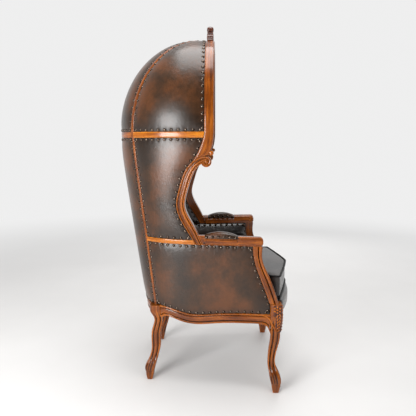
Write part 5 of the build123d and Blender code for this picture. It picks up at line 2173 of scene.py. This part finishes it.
@dataclass(frozen=True)
class Studio:
    """Camera, lights, floor and backdrop."""

    eye: tuple[float, float, float] = (-2.2505, -0.072, 1.112)
    heading: float = 0.0250
    pitch: float = 0.1473
    lens: float = 39.98
    background: tuple[float, ...] = (0.86, 0.86, 0.86, 1)
    sky: float = 0.46

    def hang(self, data: bpy.types.ID, place: Spot, way: Vector) -> Mesh:
        """Add a camera or a light at a place, looking along a way, and return it."""
        thing = bpy.data.objects.new(data.name, data)
        bpy.context.scene.collection.objects.link(thing)
        thing.location, thing.rotation_euler = place, way.to_track_quat("-Z", "Y").to_euler()
        return thing

    def camera(self) -> None:
        """Put the camera where the photograph was taken from."""
        data = bpy.data.cameras.new("camera")
        data.sensor_width, data.lens = 36.0, self.lens
        level = math.cos(self.pitch)
        ahead, aside = math.cos(self.heading) * level, math.sin(self.heading) * level
        way = Vector((ahead, aside, -math.sin(self.pitch)))
        bpy.context.scene.camera = self.hang(data, self.eye, way)

    def lamp(
        self, name: str, place: Spot, aim: Spot, size: tuple[float, float], power: float,
        gleams: bool = False,
    ) -> None:
        """Add one soft light.

        Args:
            name: Name of the light.
            place: Where it hangs.
            aim: What it faces.
            size: Its two sides.
            power: Its power in watts.
            gleams: Whether polished pieces mirror it.
        """
        data = bpy.data.lights.new(name, "AREA")
        data.shape, data.size, data.size_y, data.energy = "RECTANGLE", size[0], size[1], power
        self.hang(data, place, Vector(aim) - Vector(place)).visible_glossy = gleams

    def ground(self) -> None:
        """Make the pale floor, which fades into the background far from the chair."""
        bpy.ops.object.select_all(action="DESELECT")
        bpy.ops.mesh.primitive_plane_add(size=40, location=(0, 0, 0))
        floor = bpy.context.active_object
        floor.name = floor.data.name = "floor"
        board = MaterialBoard("pale_floor")
        pale = [(0.76, 0.75, 0.74, 1), (0.80, 0.79, 0.78, 1)]
        cloud = board.ramp(board.noise(board.place, 1.5, 3.0), (0.3, 0.7), pale)
        away = board.add("VectorMath", {0: board.place}, operation="LENGTH").outputs["Value"]
        fade = board.span(away, 1.3, 5.0, interpolation_type="SMOOTHSTEP")
        rays = board.add("LightPath").outputs
        seen = board.math("MAXIMUM", rays["Is Camera Ray"], rays["Is Glossy Ray"])
        seen = board.math("MAXIMUM", seen, rays["Is Transmission Ray"])
        share = board.math("MULTIPLY", fade, seen)
        glow = board.add("Emission", {"Color": self.background, "Strength": 1.0}).outputs[0]
        mix = board.add("MixShader", {0: share, 1: board.shader.outputs[0], 2: glow})
        board.put(board.output, {0: mix.outputs[0]})
        floor.data.materials.append(board.finish(Base_Color=cloud, Roughness=0.55))

    def surroundings(self) -> None:
        """Light the chair from all round, with a pale wall to mirror on its far side."""
        world = bpy.data.worlds.new("world")
        world.use_nodes = True
        bpy.context.scene.world = world
        board = Board(world.node_tree, "OutputWorld")
        way = board.add("TexCoord").outputs["Generated"]
        across = board.add("SeparateXYZ", {0: way}).outputs[0]
        greys = [(0.05, 0.05, 0.05, 1), (0.86, 0.86, 0.86, 1)]
        mirror = board.ramp(board.span(across, -0.7, 0.7), (0.0, 1.0), greys)
        rays = board.add("LightPath").outputs
        gleam = board.math("MAXIMUM", rays["Is Glossy Ray"], rays["Is Transmission Ray"])
        light = board.add("Background", {0: (1, 1, 1, 1), 1: self.sky}).outputs[0]
        for share, colour in ((gleam, mirror), (rays["Is Camera Ray"], self.background)):
            other = board.add("Background", {0: colour}).outputs[0]
            light = board.add("MixShader", {0: share, 1: light, 2: other}).outputs[0]
        board.put(board.output, {0: light})

    def build(self) -> None:
        """Set up the studio."""
        self.camera()
        self.lamp("overhead", (-0.15, 0.0, 3.1), (0, 0, 0.9), (1.5, 1.5), 42, True)
        self.lamp("window", (-2.45, 1.65, 1.25), (-0.1, 0.1, 1.0), (1.15, 1.3), 82, True)
        self.lamp("fill", (-2.4, -2.8, 1.7), (0, 0, 0.8), (2.4, 2.0), 24)
        self.lamp("far_fill", (3.0, -0.9, 1.7), (0, 0, 0.9), (2.2, 2.0), 30)
        self.ground()
        self.surroundings()
        bpy.context.scene.view_settings.view_transform = "Standard"


@dataclass
class Chair:
    """The whole chair."""

    finishes: Finishes = field(default_factory=Finishes)

    def plain_nodes(self) -> None:
        """Dress the CAD nodes whose shape is right as they are."""
        for node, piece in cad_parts.items():
            wood = self.finishes.rail_wood if node == "front_rail" else self.finishes.frame_wood
            if node == "front_rail" or "block" in node or "tack" in node:
                for place in piece.material_slots:
                    place.material = wood

    def build(self) -> None:
        """Build every piece."""
        OutsideLeather(self.finishes).build()
        InsideLeather(self.finishes).build()
        ShowWood(self.finishes).build()
        Leg(self.finishes, "front_leg", FRONT_LEG, 340.0, 55.0, carved=True).build()
        Leg(self.finishes, "rear_leg", REAR_LEG, 330.0, 57.0).build()
        Crest(self.finishes).build()
        Seat(self.finishes).build()
        Cushion(self.finishes).build()
        ArmPads(self.finishes).build()
        self.plain_nodes()


def main() -> None:
    """Build the chair in its studio."""
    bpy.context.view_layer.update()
    Studio().build()
    Chair().build()


if __name__ == "__main__":
    main()
